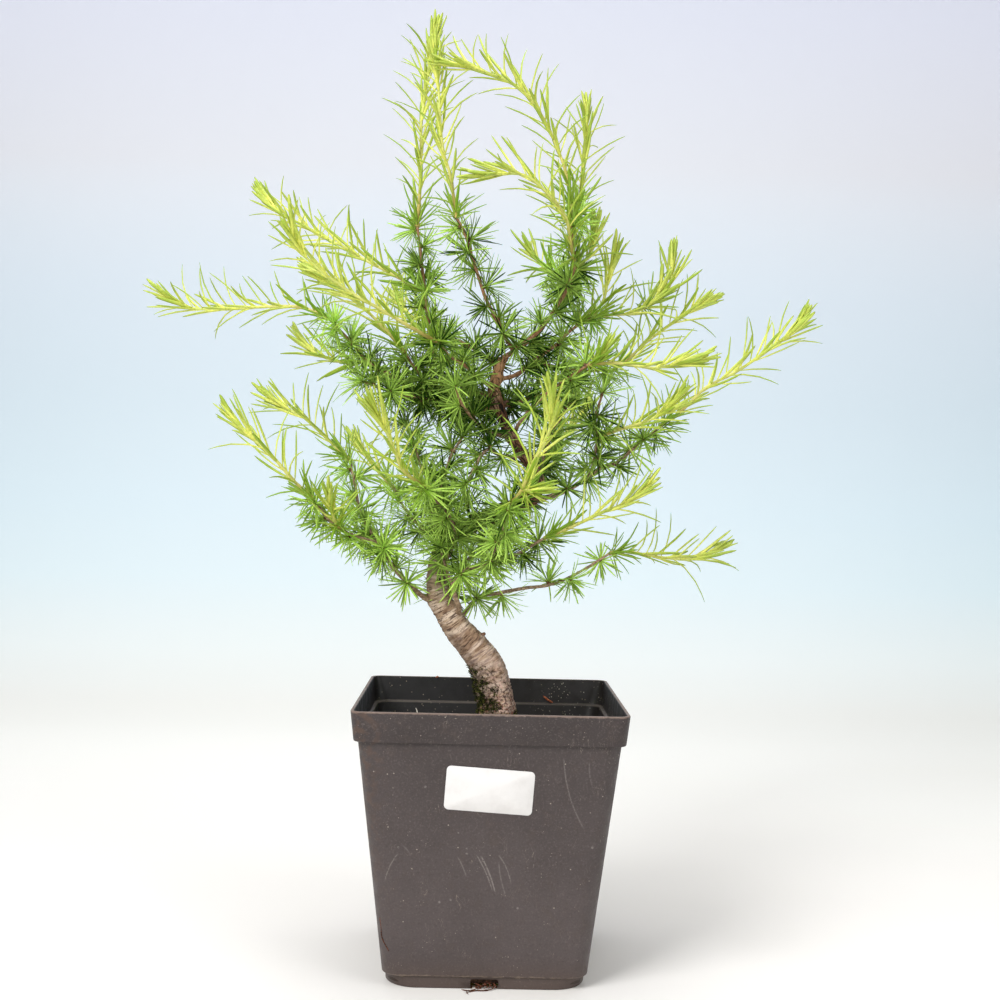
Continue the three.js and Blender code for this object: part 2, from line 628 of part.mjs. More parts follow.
// Trunk: its radius follows the listed points, with shallow ridges that fade upwards
function trunkStem() {
  const curve = new THREE.CatmullRomCurve3(TRUNK.map(seenAt), false, "centripetal");
  const radiusAt = (share, angle) => {
    const place = THREE.MathUtils.clamp(curve.getUtoTmapping(share), 0, 1) * (TRUNK.length - 1);
    const index = Math.min(Math.floor(place), TRUNK.length - 2);
    const radius = THREE.MathUtils.lerp(TRUNK[index][3], TRUNK[index + 1][3], place - index);
    const ridges = TRUNK_RIDGES
      .map(({ depth, count, wind }) => depth * Math.cos(count * angle + wind * share));
    return radius * (1 + (ridges[0] + ridges[1]) * (1 - share));
  };
  const shape = { curve, radiusAt, end: 1, step: TRUNK_STEP, sides: TRUNK_SIDES };
  return addStem({ node: "trunk", kind: "trunk", ...shape });
}

function makeTrunk(trunk, extra = 0) {
  const pieces = [tube(trunk, extra)];
  for (const { share, turn, length } of STUBS) {
    const root = trunk.curve.getPointAt(share);
    const out = new THREE.Vector3(1, 0, STUB_RISE).applyAxisAngle(UP, radians(turn)).normalize();
    const tip = root.clone().addScaledVector(out, trunk.radiusAt(share, 0) + length);
    const curve = new THREE.LineCurve3(root, tip);
    const radiusAt = (along) => THREE.MathUtils.lerp(STUB_RADIUS[0], STUB_RADIUS[1], along);
    pieces.push(tube({ curve, radiusAt, end: 1, steps: 1, sides: STUB_SIDES }, extra));
  }
  return joined(pieces);
}

// A leafy stem on the stems that carry it: a shoot's wood ends short of its furthest needles
function leafyStem(node, { from, radius, points, ...rest }, kind) {
  const places = points.map(seenAt);
  places[0] = nearestOn(from, places[0]);
  const curve = new THREE.CatmullRomCurve3(places, false, "centripetal");
  const end = kind === "shoot" ? 1 - TUFT_REACH / curve.getLength() : 1;
  const sides = kind === "shoot" ? SHOOT_SIDES : TWIG_SIDES;
  const radiusAt = (share) => THREE.MathUtils.lerp(radius[0], radius[1], share);
  return addStem({ node, kind, from, curve, end, radiusAt, step: STEM_STEP, sides, ...rest });
}

// Shortest distance between two straight pieces
function distanceBetween(first, second) {
  const along = first.end.clone().sub(first.start);
  const across = second.end.clone().sub(second.start);
  const apart = first.start.clone().sub(second.start);
  const a = along.lengthSq();
  const b = along.dot(across);
  const c = across.lengthSq();
  const d = along.dot(apart);
  const e = across.dot(apart);
  const clamp = (value) => THREE.MathUtils.clamp(value, 0, 1);
  const spread = a * c - b * b;
  let s = spread > Number.EPSILON ? clamp((b * e - c * d) / spread) : 0;
  const t = clamp((b * s + e) / c);
  s = clamp((b * t - d) / a);
  return apart.addScaledVector(along, s).addScaledVector(across, -t).length();
}

// Whether a needle misses every other piece: those of its own node may pass closer
function isClear(piece) {
  const middle = piece.start.clone().add(piece.end).multiplyScalar(0.5);
  const reach = piece.start.distanceTo(piece.end) / 2;
  return placed.every((other) => {
    const own = other.node === piece.node;
    if (own && [piece.group, "shoot"].includes(other.group)) return true;
    const width = own && other.group === "twig" ? 0 : piece.radius;
    const room = width + other.radius + (own ? 0 : CLEARANCE);
    const far = reach + room + other.start.distanceTo(other.end);
    if (middle.distanceTo(other.start) > far) return true;
    return distanceBetween(piece, other) > room;
  });
}

// A direction turned off its aim by up to some degrees, any way round
function turned(aim, degrees) {
  const side = new THREE.Vector3(between(-1, 1), between(-1, 1), between(-1, 1)).cross(aim).normalize();
  return aim.clone().applyAxisAngle(side, radians(between(0, degrees)));
}

// The point of a needle that grows from a face, or nothing where there is no room for one
function needlePoint(node, group, corners, aim, length) {
  const root = centreOf(corners);
  for (let attempt = 0; attempt < TRIES; attempt += 1) {
    const out = turned(aim, NEEDLE_STRAY + STRAY_PER_TRY * attempt);
    const size = length * between(...NEEDLE_VARIATION) * (1 - SHORTER_PER_TRY * attempt);
    const start = root.clone().addScaledVector(out, NEEDLE_RADIUS);
    const end = root.clone().addScaledVector(out, size);
    const piece = { node, group, start, end, radius: NEEDLE_RADIUS };
    if (isClear(piece)) {
      placed.push(piece);
      return end;
    }
  }
  return undefined;
}

// Leans a direction off an axis towards a side
function leaned(axis, side, degrees) {
  const out = side.clone().projectOnPlane(axis).normalize();
  return out.multiplyScalar(Math.sin(radians(degrees))).addScaledVector(axis, Math.cos(radians(degrees)));
}

// A bud whose point is sunk in a twig, with its side and top faces drawn out into needles
function makeRosette(node, group, root, axis) {
  const above = (height) => root.clone().addScaledVector(axis, height);
  const curve = new THREE.LineCurve3(above(BUD_WAIST), above(BUD_SHOULDER));
  const bud = { curve, sides: BUD_SIDES, radiusAt: () => BUD_RADIUS };
  const twist = between(0, Math.PI);
  const rings = ringsAlong(bud, [{ share: 0, twist }, { share: 1, twist }]);
  const top = above(BUD_TOP);
  const raised = {};
  for (let i = 0; i < BUD_SIDES; i += 1) {
    const next = (i + 1) % BUD_SIDES;
    const sideFace = [rings[0][i], rings[0][next], rings[1][next], rings[1][i]];
    const out = centreOf(sideFace).sub(root);
    const sideAim = leaned(axis, out, ROSETTE_SIDE_LEAN);
    const topAim = leaned(axis, out, ROSETTE_TOP_LEAN);
    const topFace = [rings[1][i], rings[1][next], top];
    raised[`0 ${i}`] = needlePoint(node, group, sideFace, sideAim, ROSETTE_LENGTH);
    raised[`end ${i}`] = needlePoint(node, group, topFace, topAim, ROSETTE_LENGTH);
  }
  return toSolid(loft(rings, above(BUD_FOOT), top, raised));
}

// A twig with rosettes all round it, each turned on until its bud is clear of every other node's stem. A
// crowned twig, with no shoot at its end, ends in one.
function makeTwig(stem, index) {
  const { node, curve, length, radiusAt } = stem;
  const pieces = [tube(stem)];
  const varied = () => ROSETTE_SPACING * between(1 - SPACING_VARIATION, 1 + SPACING_VARIATION);
  let turn = between(0, 360);
  for (let along = stem.bare; along < length - ROSETTE_END; along += varied()) {
    const share = along / length;
    const tangent = curve.getTangentAt(share);
    const group = `${index} ${along}`;
    for (let attempt = 0; attempt < TRIES; attempt += 1) {
      turn += GOLDEN_ANGLE;
      const side = UP.clone().projectOnPlane(tangent).applyAxisAngle(tangent, radians(turn));
      const axis = leaned(tangent, side, ROSETTE_LEAN);
      const root = curve.getPointAt(share).addScaledVector(axis, radiusAt(share));
      const ends = { start: root.clone().addScaledVector(axis, BUD_WAIST), end: root.clone().add(axis) };
      if (isClear({ node, group, radius: BUD_RADIUS, ...ends })) {
        pieces.push(makeRosette(node, group, root, axis));
        break;
      }
    }
  }
  if (stem.crowned) {
    pieces.push(makeRosette(node, `${index} end`, curve.getPoint(1), curve.getTangent(1)));
  }
  return joined(pieces);
}

// A long shoot: each whorl is a short stretch of stem whose side faces are drawn out into needles. The
// first whorl stands half a spacing above the bare foot.
function makeShoot(stem, index) {
  const woodEnd = stem.end * stem.length;
  const whorls = Math.round((woodEnd - SHOOT_BARE) / WHORL_SPACING);
  const spacing = (woodEnd - SHOOT_BARE) / (whorls + 1 / 2);
  const stations = [{ share: 0 }];
  for (let whorl = 0; whorl <= whorls; whorl += 1) {
    const top = woodEnd - spacing * (whorls - whorl);
    const twist = radians(WHORL_TWIST) * whorl;
    stations.push({ share: (top - WHORL_HEIGHT) / stem.length, twist });
    stations.push({ share: top / stem.length, twist });
  }
  const rings = ringsAlong(stem, stations);
  const raised = {};
  for (let ring = 1; ring < rings.length; ring += 2) {
    const tangent = stem.curve.getTangentAt(stations[ring].share);
    const left = (rings.length - 2 - ring) / 2;
    const lean = [TUFT_LEAN, 2 * TUFT_LEAN][left] ?? SHOOT_LEAN;
    const length = left === 0 ? TUFT_REACH : SHOOT_LENGTH;
    for (let side = 0; side < SHOOT_SIDES; side += 1) {
      const next = (side + 1) % SHOOT_SIDES;
      const [low, high] = [rings[ring], rings[ring + 1]];
      const face = [low[side], low[next], high[next], high[side]];
      const out = centreOf(face).sub(centreOf([...low, ...high]));
      const aim = leaned(tangent, out, lean);
      raised[`${ring} ${side}`] = needlePoint(stem.node, `${index} ${ring}`, face, aim, length);
    }
  }
  return toSolid(loft(rings, centreOf(rings[0]), stem.curve.getPoint(1), raised));
}

// The whole plant: every stem is placed before any leaf, so that leaves find their room among all of them
const trunk = trunkStem();
const trunkRoom = makeTrunk(trunk, GAP);
for (const [node, list] of Object.entries(TWIGS)) {
  list.forEach((stem) => leafyStem(node, stem, "twig"));
}
for (const [node, list] of Object.entries(SHOOTS)) {
  list.forEach((stem) => leafyStem(node, stem, "shoot"));
}

// A leafy node of one or more stems, cut a little clear of the stems that carry it
function makeLeafyNode(node, makeStem) {
  const own = stems.filter((stem) => stem.node === node);
  const carriers = new Set(own.map((stem) => stem.from));
  const beside = stems.filter((stem) => carriers.has(stem.node) && ![node, "trunk"].includes(stem.node));
  const room = beside.map((stem) => tube(stem, GAP));
  return largestBody(joined(own.map(makeStem)).subtract(joined([trunkRoom, ...room])));
}

const larch = new THREE.Group();

function addMesh(name, solid, material) {
  const mesh = new THREE.Mesh(toGeometry(solid), material);
  mesh.name = name;
  larch.add(mesh);
}

addMesh("pot", makePot(), MATERIALS.pot);
addMesh("label", makeLabel(), MATERIALS.label);
addMesh("soil", makeSoil(trunkRoom), MATERIALS.soil);
addMesh("trunk", makeTrunk(trunk), MATERIALS.bark);
Object.keys(TWIGS).forEach((node) => addMesh(node, makeLeafyNode(node, makeTwig), MATERIALS.rosettes));
Object.keys(SHOOTS).forEach((node) => addMesh(node, makeLeafyNode(node, makeShoot), MATERIALS.shoot));

export default larch;
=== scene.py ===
"""A European larch grown as a bonsai, in the square plastic pot that it was raised in.

Sizes are in millimetres and are turned to metres where meshes are made. +Z is up, and the front of the
pot looks along -Y. Every stem of the tree is listed as it is seen from the front, with its depth.
"""

import math
import random

import bpy
import numpy as np
from mathutils import Matrix, Vector, noise


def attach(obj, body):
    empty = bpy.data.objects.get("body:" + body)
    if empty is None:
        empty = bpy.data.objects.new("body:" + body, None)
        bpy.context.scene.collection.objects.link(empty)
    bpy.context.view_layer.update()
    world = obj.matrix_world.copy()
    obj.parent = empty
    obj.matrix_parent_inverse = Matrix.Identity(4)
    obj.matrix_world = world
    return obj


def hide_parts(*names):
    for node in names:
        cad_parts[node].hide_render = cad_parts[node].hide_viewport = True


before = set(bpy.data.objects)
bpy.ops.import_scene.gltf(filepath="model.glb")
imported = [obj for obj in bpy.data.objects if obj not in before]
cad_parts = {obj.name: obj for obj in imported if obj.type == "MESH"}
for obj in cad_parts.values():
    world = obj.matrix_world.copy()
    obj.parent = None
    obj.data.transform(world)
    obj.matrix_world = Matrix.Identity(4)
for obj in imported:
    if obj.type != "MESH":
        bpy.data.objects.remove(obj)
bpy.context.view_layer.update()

MM = 0.001
UP = np.array([0.0, 0.0, 1.0])

# Pot
POT_HEIGHT = 134.5
RIM_HALF = 65.6
BAND_BOTTOM = 119.8
BAND_BOTTOM_HALF = 64.5
BODY_TOP_HALF = 62.7
BODY_BOTTOM_HALF = 49.7
FOOT_HEIGHT = 6
FOOT_HALF = 48.4
WALL = 1.3
FLOOR = 2
LEDGE_HEIGHT = 121
CORNER_RADIUS = 9
RIM_CORNER_RADIUS = 5.5
FOOT_CORNER_RADIUS = 16
CORNER_STEPS = 12
SIDE_STEPS = 10
EDGE_RADIUS = 0.5
SLOT_WIDTH = 13.4
SLOT_HEIGHT = 4.6
SLOT_DEPTH = 12
SLOT_CORNER = 1.2
DRAIN_RADIUS = 4
DRAIN_OFFSET = 26
DRAIN_SIDES = 28

# Label on the front of the pot
LABEL_WIDTH = 41.7
LABEL_HEIGHT = 21.3
LABEL_CORNER = 2.2
LABEL_THICKNESS = 0.25
LABEL_ACROSS = 0.2
LABEL_UP = 97.8
LABEL_TURN = 3.5
LABEL_OFF = 0.12
LABEL_EDGE = 0.08

# Marks on the front of the pot: rubbed streaks (from, to, bow, strength) and drops (across, up, radius)
STREAKS = [
    ((-14.7, 66), (-9.4, 54), 0.6, 0.4), ((-5.6, 67), (3, 48), 0.8, 0.6),
    ((-3.4, 66.5), (4.4, 46.5), 0.9, 0.75), ((-1.5, 62), (4.8, 45), 0.7, 0.3),
    ((4.9, 67), (11.6, 51.5), 1.2, 0.5), ((5.4, 63.5), (10, 44.5), -0.8, 0.35),
    ((34.9, 114), (46, 79), -2.4, 0.4), ((47, 113), (49, 100), -0.8, 0.3),
    ((-41, 71), (-36, 65), 0.5, 0.35),
]
DROPS = [
    (-9.9, 69.3, 0.75), (-9.9, 66.9, 0.7), (-22.3, 43, 0.8), (-17, 44.2, 0.75), (14.9, 40.6, 0.75),
    (-42.3, 69.3, 0.8), (-29.9, 98.9, 0.8), (-14, 77, 0.5), (49.5, 71, 0.9), (-37, 82, 0.5), (22, 62, 0.4),
]
MARK_STRENGTH = 0.55

# Soil
SOIL_TOP = 108.4
SOIL_WAVE_HEIGHT = 1.1
SOIL_WAVE_ACROSS = 9
SOIL_WAVE_BACK = 11
MOUND_HEIGHT = 3
MOUND_WIDTH = 24
SOIL_GAP = 0.3
SOIL_RINGS = 46
CLOD_SIZE = 5
CLOD_HEIGHT = 0.9

# Rootlets in the front slot, and pale flecks inside the wall at the back, as (across, up, size)
SLOT_ROOTS = 16
FLECKS = [(43, 121.6, 1.6), (53.4, 127.5, 1.1), (31.8, 119.6, 1), (36.6, 131.8, 0.7), (41, 131.9, 0.7)]

# The front view that the stems are listed on: the eye's place, and its distance from the pot's middle. The
# pot stands a little turned in that view, and lower than the view's zero.
EYE_X = 3
EYE_Z = 233
EYE_DISTANCE = 704
VIEW_SHIFT_X = -0.85
VIEW_SHIFT_Z = 2.5
VIEW_TURN = -0.77

# The camera, and the backdrop: its front edge, the radius of its bend, its half width and height
CAMERA_PLACE = (2.35, -703.8, 235.1)
CAMERA_LENS = 49.2
CAMERA_SHIFT = (0.0011, -0.0009)
CAMERA_ROLL = 1.3
SWEEP_FRONT = -1700
SWEEP_BEND = 700
SWEEP_SIDE = 2600

# Lights as (name, place, target, size, power in watts), and the plain light from all round
LIGHTS = [
    ("Key", (-620, -760, 900), (0, 0, 250), 560, 13.5), ("Fill", (760, -640, 620), (0, 0, 230), 620, 4),
    ("Top", (0, 60, 1150), (0, 0, 200), 700, 7.5), ("Low front", (0, -1100, 260), (0, 0, 120), 600, 2),
]
ROUND_LIGHT = (0.93, 0.96, 1, 1)
ROUND_STRENGTH = 0.11

# How much light the backdrop gives off by its height in metres, on the floor far away and on the floor nearby
GLOW = [
    (0, (0.2, 0.215, 0.19)), (0.047, (0.21, 0.275, 0.28)), (0.127, (0.16, 0.28, 0.33)),
    (0.22, (0.15, 0.265, 0.33)), (0.38, (0.155, 0.225, 0.28)), (0.55, (0.2, 0.22, 0.265)),
    (0.75, (0.285, 0.235, 0.25)), (1, (0.34, 0.325, 0.39)),
]
FAR_GLOW = (0.2, 0.215, 0.19)
NEAR_GLOW = (0.01, 0.01, 0)

# Trunk centre line as (across, up, back, radius), from the root ball to where the leader starts
TRUNK = [
    (5, 78, 0, 8), (5.5, 98, 0, 10.5), (6, 107, 0, 11), (5.4, 114, 0, 10), (5.2, 123, 0, 9.4),
    (3.2, 133, 0, 9), (0.6, 144, 0, 8.6), (-5, 153, 0, 8), (-16, 165, -1, 6.9), (-23, 175, -2, 6.1),
    (-27, 183, -2, 5.6), (-28, 191, -1, 5), (-27, 201, 1, 4.7), (-24, 210, 4, 4.5),
    (-12, 218, 8, 4.3), (3, 226, 9, 4.1), (16, 231, 8, 3.9), (22.5, 238, 6.5, 3.7), (22, 246, 6, 3.4),
    (16, 255, 5, 3.2), (9.5, 264, 3, 3.1), (5, 272, 2, 3), (1.3, 283, 0, 2.9), (-0.6, 290, 0, 2.8),
    (1, 297, 1, 2.7), (3.5, 305, 2, 2.1),
]

# The points of the trunk's rings, a step along it, its ridges (share of its radius, how many, wind), collars
# where twigs leave it as shares of their thickness, and where its first ring and that of a strand start
TRUNK_SIDES = 88
TRUNK_STEP = 0.55
TRUNK_RIDGES = [(0.07, 3, 5), (0.04, 5, -9)]
COLLAR_HEIGHT = 0.75
COLLAR_REACH = 1.5
FIRST_SIDE = np.array([0.3, 0.9, 0.1])
STRAND_SIDE = (0.31, 0.22, 0.92)

# Cut-off twigs on the trunk: height, degrees round it from the right, length past the bark, radius, rise
STUBS = [
    (170, 188, 1.4, 0.8, 0.3), (166, 200, 0.9, 0.6, 0.2), (161, 12, 1.8, 1, 0.6), (189, -75, 2.2, 1.1, 0.8),
    (153, 165, 1.2, 0.8, 0.2), (203, 20, 3, 1.2, 0.4), (181, 60, 3, 1.3, 0.4), (265, 184, 9, 1.35, 0.58),
    (247, 186, 17, 0.65, 0.75), (283, 20, 3, 0.9, 0.5),
]

# An old knot hole on the front of the trunk: where it is, its width and depth, and the raised rim round it
KNOT = (-26.5, -5.5, 206.5)
KNOT_WIDTH = 1.7
KNOT_DEPTH = 1.1
KNOT_RIM = 2.6
KNOT_RIM_WIDTH = 1.2
KNOT_RIM_HEIGHT = 0.5

# How high moss and the old bark of the upper trunk reach
OLD_BARK = (196, 232)
MOSS_TOP = (134, 155)

# Rosettes of short needles on the twigs, and the single needles of the long shoots
ROSETTE_SPACING = 8
OTHER_SPACING = {
    "twig_right_lowest": 16, "twig_right_front": 9.5, "twig_front_left": 6.2, "twig_front": 6.6,
    "twig_inner_left": 6.4, "twig_left_high": 6.2, "twig_left_low": 7.2, "twig_left_low_back": 7,
    "leader": 8.6,
}
ROSETTE_END = 4
ROSETTE_NEEDLE = 16
ROSETTE_WIDTH = 0.8
SHOOT_NEEDLE = 23
SHOOT_WIDTH = 1.6
TUFT_WIDTH = 1.9
TUFT_REACH = 13
GOLDEN = math.radians(137.5)

# Stems: steps between two listed places, a step along their lines, their sides, and how far on they show
# where they head. Then their thickness as a share of what is listed, how they swell at their foot, and knobs.
SPAN_STEPS = 40
STEM_STEP = 1.2
STEM_SIDES = 10
HEADING_STEPS = 6
TWIG_SLIMNESS = 0.68
SHOOT_SLIMNESS = 0.85
FOOT_SWELLING = 0.45
FOOT_REACH = 2.2
KNOB_SIZE = 2.4
KNOB_HEIGHT = 0.6

# A long shoot's radius at its tip and its bare foot, and the sides of buds, soil crumbs and cut-off twigs
SHOOT_TIP = 0.75
SHOOT_BARE = 3
BUD_SIDES = 8
CRUMB_SIDES = 7
STUB_SIDES = 14

# The crown: its needles and twigs are painted darker deep inside it, as painted shade
CROWN_MIDDLE = (3, 5, 285)
CROWN_REACH = (105, 80, 125)


# Brown leafy twigs: node, what carries it, radius at its foot and its tip, length of its bare foot, whether
# it ends in a rosette, route. Every stem grows from the nearest place on its carrier.
TWIGS = [
    ("leader", "trunk", 1.9, 1.1, 6, False, [(3, 305, 2), (9, 309, 3), (18, 316, 4), (26, 325, 5),
        (34, 338, 5), (39, 352, 5), (38, 368, 5), (37, 385, 4)]),
    ("twig_left_high", "trunk", 1.9, 1, 8, False, [(-1, 279, 0), (-17, 278, 6), (-29, 282, 10),
        (-43, 289, 14), (-65, 302, 20), (-74, 311, 22), (-87, 324, 26)]),
    ("twig_left_high", "twig_left_high", 1.2, 0.9, 4, True, [(-29, 282, 10), (-40, 284, 0), (-51, 286, -9),
        (-67, 291, -17)]),
    ("twig_left_high", "twig_left_high", 1.2, 0.9, 5, False, [(-26, 281, 9), (-38, 294, 4),
        (-47, 307, -1)]),
    ("twig_left_inner", "trunk", 1.6, 1, 14, False, [(-1, 289, 0), (-10, 296, -8), (-16, 301, -14),
        (-22, 304, -20), (-31, 313, -30)]),
    ("twig_upright_left", "trunk", 1.7, 1, 12, False, [(-1, 284, 0), (-18, 291, 8), (-30, 300, 9),
        (-34, 313, 10), (-36, 328, 11), (-38, 343, 12), (-40, 359, 12), (-42, 372, 12)]),
    ("twig_upright_mid", "leader", 1.6, 1, 12, False, [(9, 309, 3), (4, 317, -1), (1, 323, -4),
        (-6, 336, -8), (-12, 353, -12), (-18, 370, -15), (-22, 377, -16)]),
    ("twig_left_low", "trunk", 2.1, 1, 24, False, [(-25, 177, -2), (-34, 181, -5), (-41, 187, -9),
        (-52, 198, -15), (-57, 207, -18), (-71, 212, -24), (-81, 217, -28), (-92, 230, -32)]),
    ("twig_left_low_back", "twig_left_low", 1.5, 1, 5, False, [(-52, 198, -15), (-61, 212, -8),
        (-68, 224, 0), (-71, 238, 6), (-74, 251, 12)]),
    ("twig_front_left", "trunk", 1.7, 1, 6, False, [(-27, 195, 0), (-22, 204, -10), (-19, 214, -20),
        (-21, 221, -25), (-29, 231, -34), (-36, 238, -42)]),
    ("twig_inner_left", "trunk", 1.6, 0.9, 5, True, [(-24, 210, 4), (-30, 222, -2), (-27, 234, -8),
        (-25, 243, -12), (-22, 254, -16), (-17, 263, -20)]),
    ("twig_inner_left", "twig_inner_left", 1.1, 0.9, 4, True, [(-28, 230, -6), (-36, 246, -2),
        (-41, 259, 2), (-45, 269, 6)]),
    ("twig_inner_left", "trunk", 1, 0.9, 5, True, [(-10, 219, 8), (-11, 223, 1), (-12.6, 228, -5)]),
    ("twig_inner_left", "trunk", 1, 0.9, 5, True, [(-20, 213, 5), (-20, 214, -1), (-20.5, 216, -7)]),
    ("twig_inner_front", "trunk", 1.6, 1, 20, True, [(6, 261, 2), (-2, 267, -7), (-10, 273, -15),
        (-17, 281, -23), (-20, 289, -30)]),
    ("twig_inner_mid", "trunk", 1.5, 0.9, 16, True, [(12, 252, 4), (4, 255, -7), (-3, 258, -15),
        (-9, 250, -26), (-13, 241, -34)]),
    ("twig_inner_mid", "trunk", 1, 0.9, 5, True, [(5, 226, 9), (6.5, 227, 3), (8, 229, -3)]),
    ("twig_inner_mid", "trunk", 1, 0.9, 5, True, [(0, 224, 9), (2, 217, 2), (3, 211, -5)]),
    ("twig_right_high", "trunk", 1.8, 1, 18, False, [(1, 293, 1), (11, 297, 8), (22, 306, 16),
        (30, 312, 20), (38, 320, 24), (49, 328, 27)]),
    ("twig_right_high", "twig_right_high", 1.2, 0.9, 5, False, [(20, 304, 14), (38, 300, 27),
        (60, 300, 36)]),
    ("twig_right_mid", "trunk", 1.7, 1, 24, False, [(6, 262, 2), (13, 272, -6), (24, 285, -14),
        (31, 291, -18), (38, 296, -20), (48, 303, -22)]),
    ("twig_right_low", "trunk", 2.1, 1, 24, False, [(17, 232, 8), (28, 234, 10), (40, 239, 12),
        (54, 249, 12), (62, 252, 12), (77, 265, 12), (85, 272, 12)]),
    ("twig_right_low", "twig_right_low", 1.3, 0.9, 5, True, [(50, 246, 12), (52, 255, 2), (53, 265, -6),
        (52, 276, -12), (55, 287, -17)]),
    ("twig_inner_right", "trunk", 1.5, 0.9, 8, True, [(20, 241, 6), (26, 256, 18), (31, 269, 28),
        (36, 279, 34), (42, 291, 40)]),
    ("twig_right_front", "trunk", 2.3, 0.9, 34, False, [(-17, 172, -1), (-16, 175, -9), (-19, 186, -13),
        (-16, 193, -16), (-10, 197, -18), (-3, 198, -19), (7, 201, -21), (19, 208, -23), (27, 213, -24)]),
    ("twig_right_front", "twig_right_front", 1.1, 0.9, 22, True, [(-19, 186, -13), (-23, 196, -12),
        (-26, 206, -14)]),
    ("twig_right_lowest", "trunk", 1.8, 0.9, 22, False, [(-19, 168, 0), (-13, 174, 8), (-6, 182, 14),
        (3, 184, 19), (17, 187, 25), (30, 189, 29), (42, 194, 33), (61, 206, 39)]),
    ("twig_front", "twig_right_front", 1.4, 1, 5, False, [(-3, 198, -19), (2, 206, -31), (6, 217, -42),
        (9, 230, -52)]),
    ("twig_back_top", "leader", 1.4, 0.9, 5, False, [(36, 343, 5), (38, 344, 22), (34, 346, 42),
        (28, 350, 58)]),
    ("twig_back_high", "trunk", 1.5, 0.9, 6, False, [(1, 300, 2), (-6, 306, 20), (-16, 312, 38),
        (-27, 317, 54)]),
    ("twig_back_left", "trunk", 1.6, 0.9, 6, True, [(-1, 283, 0), (-10, 276, 20), (-24, 280, 36),
        (-40, 287, 50)]),
    ("twig_back_right", "trunk", 1.6, 0.9, 6, True, [(0, 279, 0), (9, 282, 18), (22, 286, 38),
        (36, 290, 54)]),
    ("twig_back_mid", "trunk", 1.6, 0.9, 6, False, [(14, 230, 8), (18, 236, 26), (24, 246, 44),
        (30, 257, 60)]),
    ("twig_back_low", "trunk", 1.6, 0.9, 6, False, [(-25, 207, 3), (-34, 215, 20), (-44, 225, 36),
        (-51, 237, 50)]),
    ("twig_back_lowest", "trunk", 1.5, 0.9, 8, True, [(-25, 179, -2), (-22, 186, 16), (-15, 197, 32),
        (-8, 206, 46), (2, 213, 60)]),
]

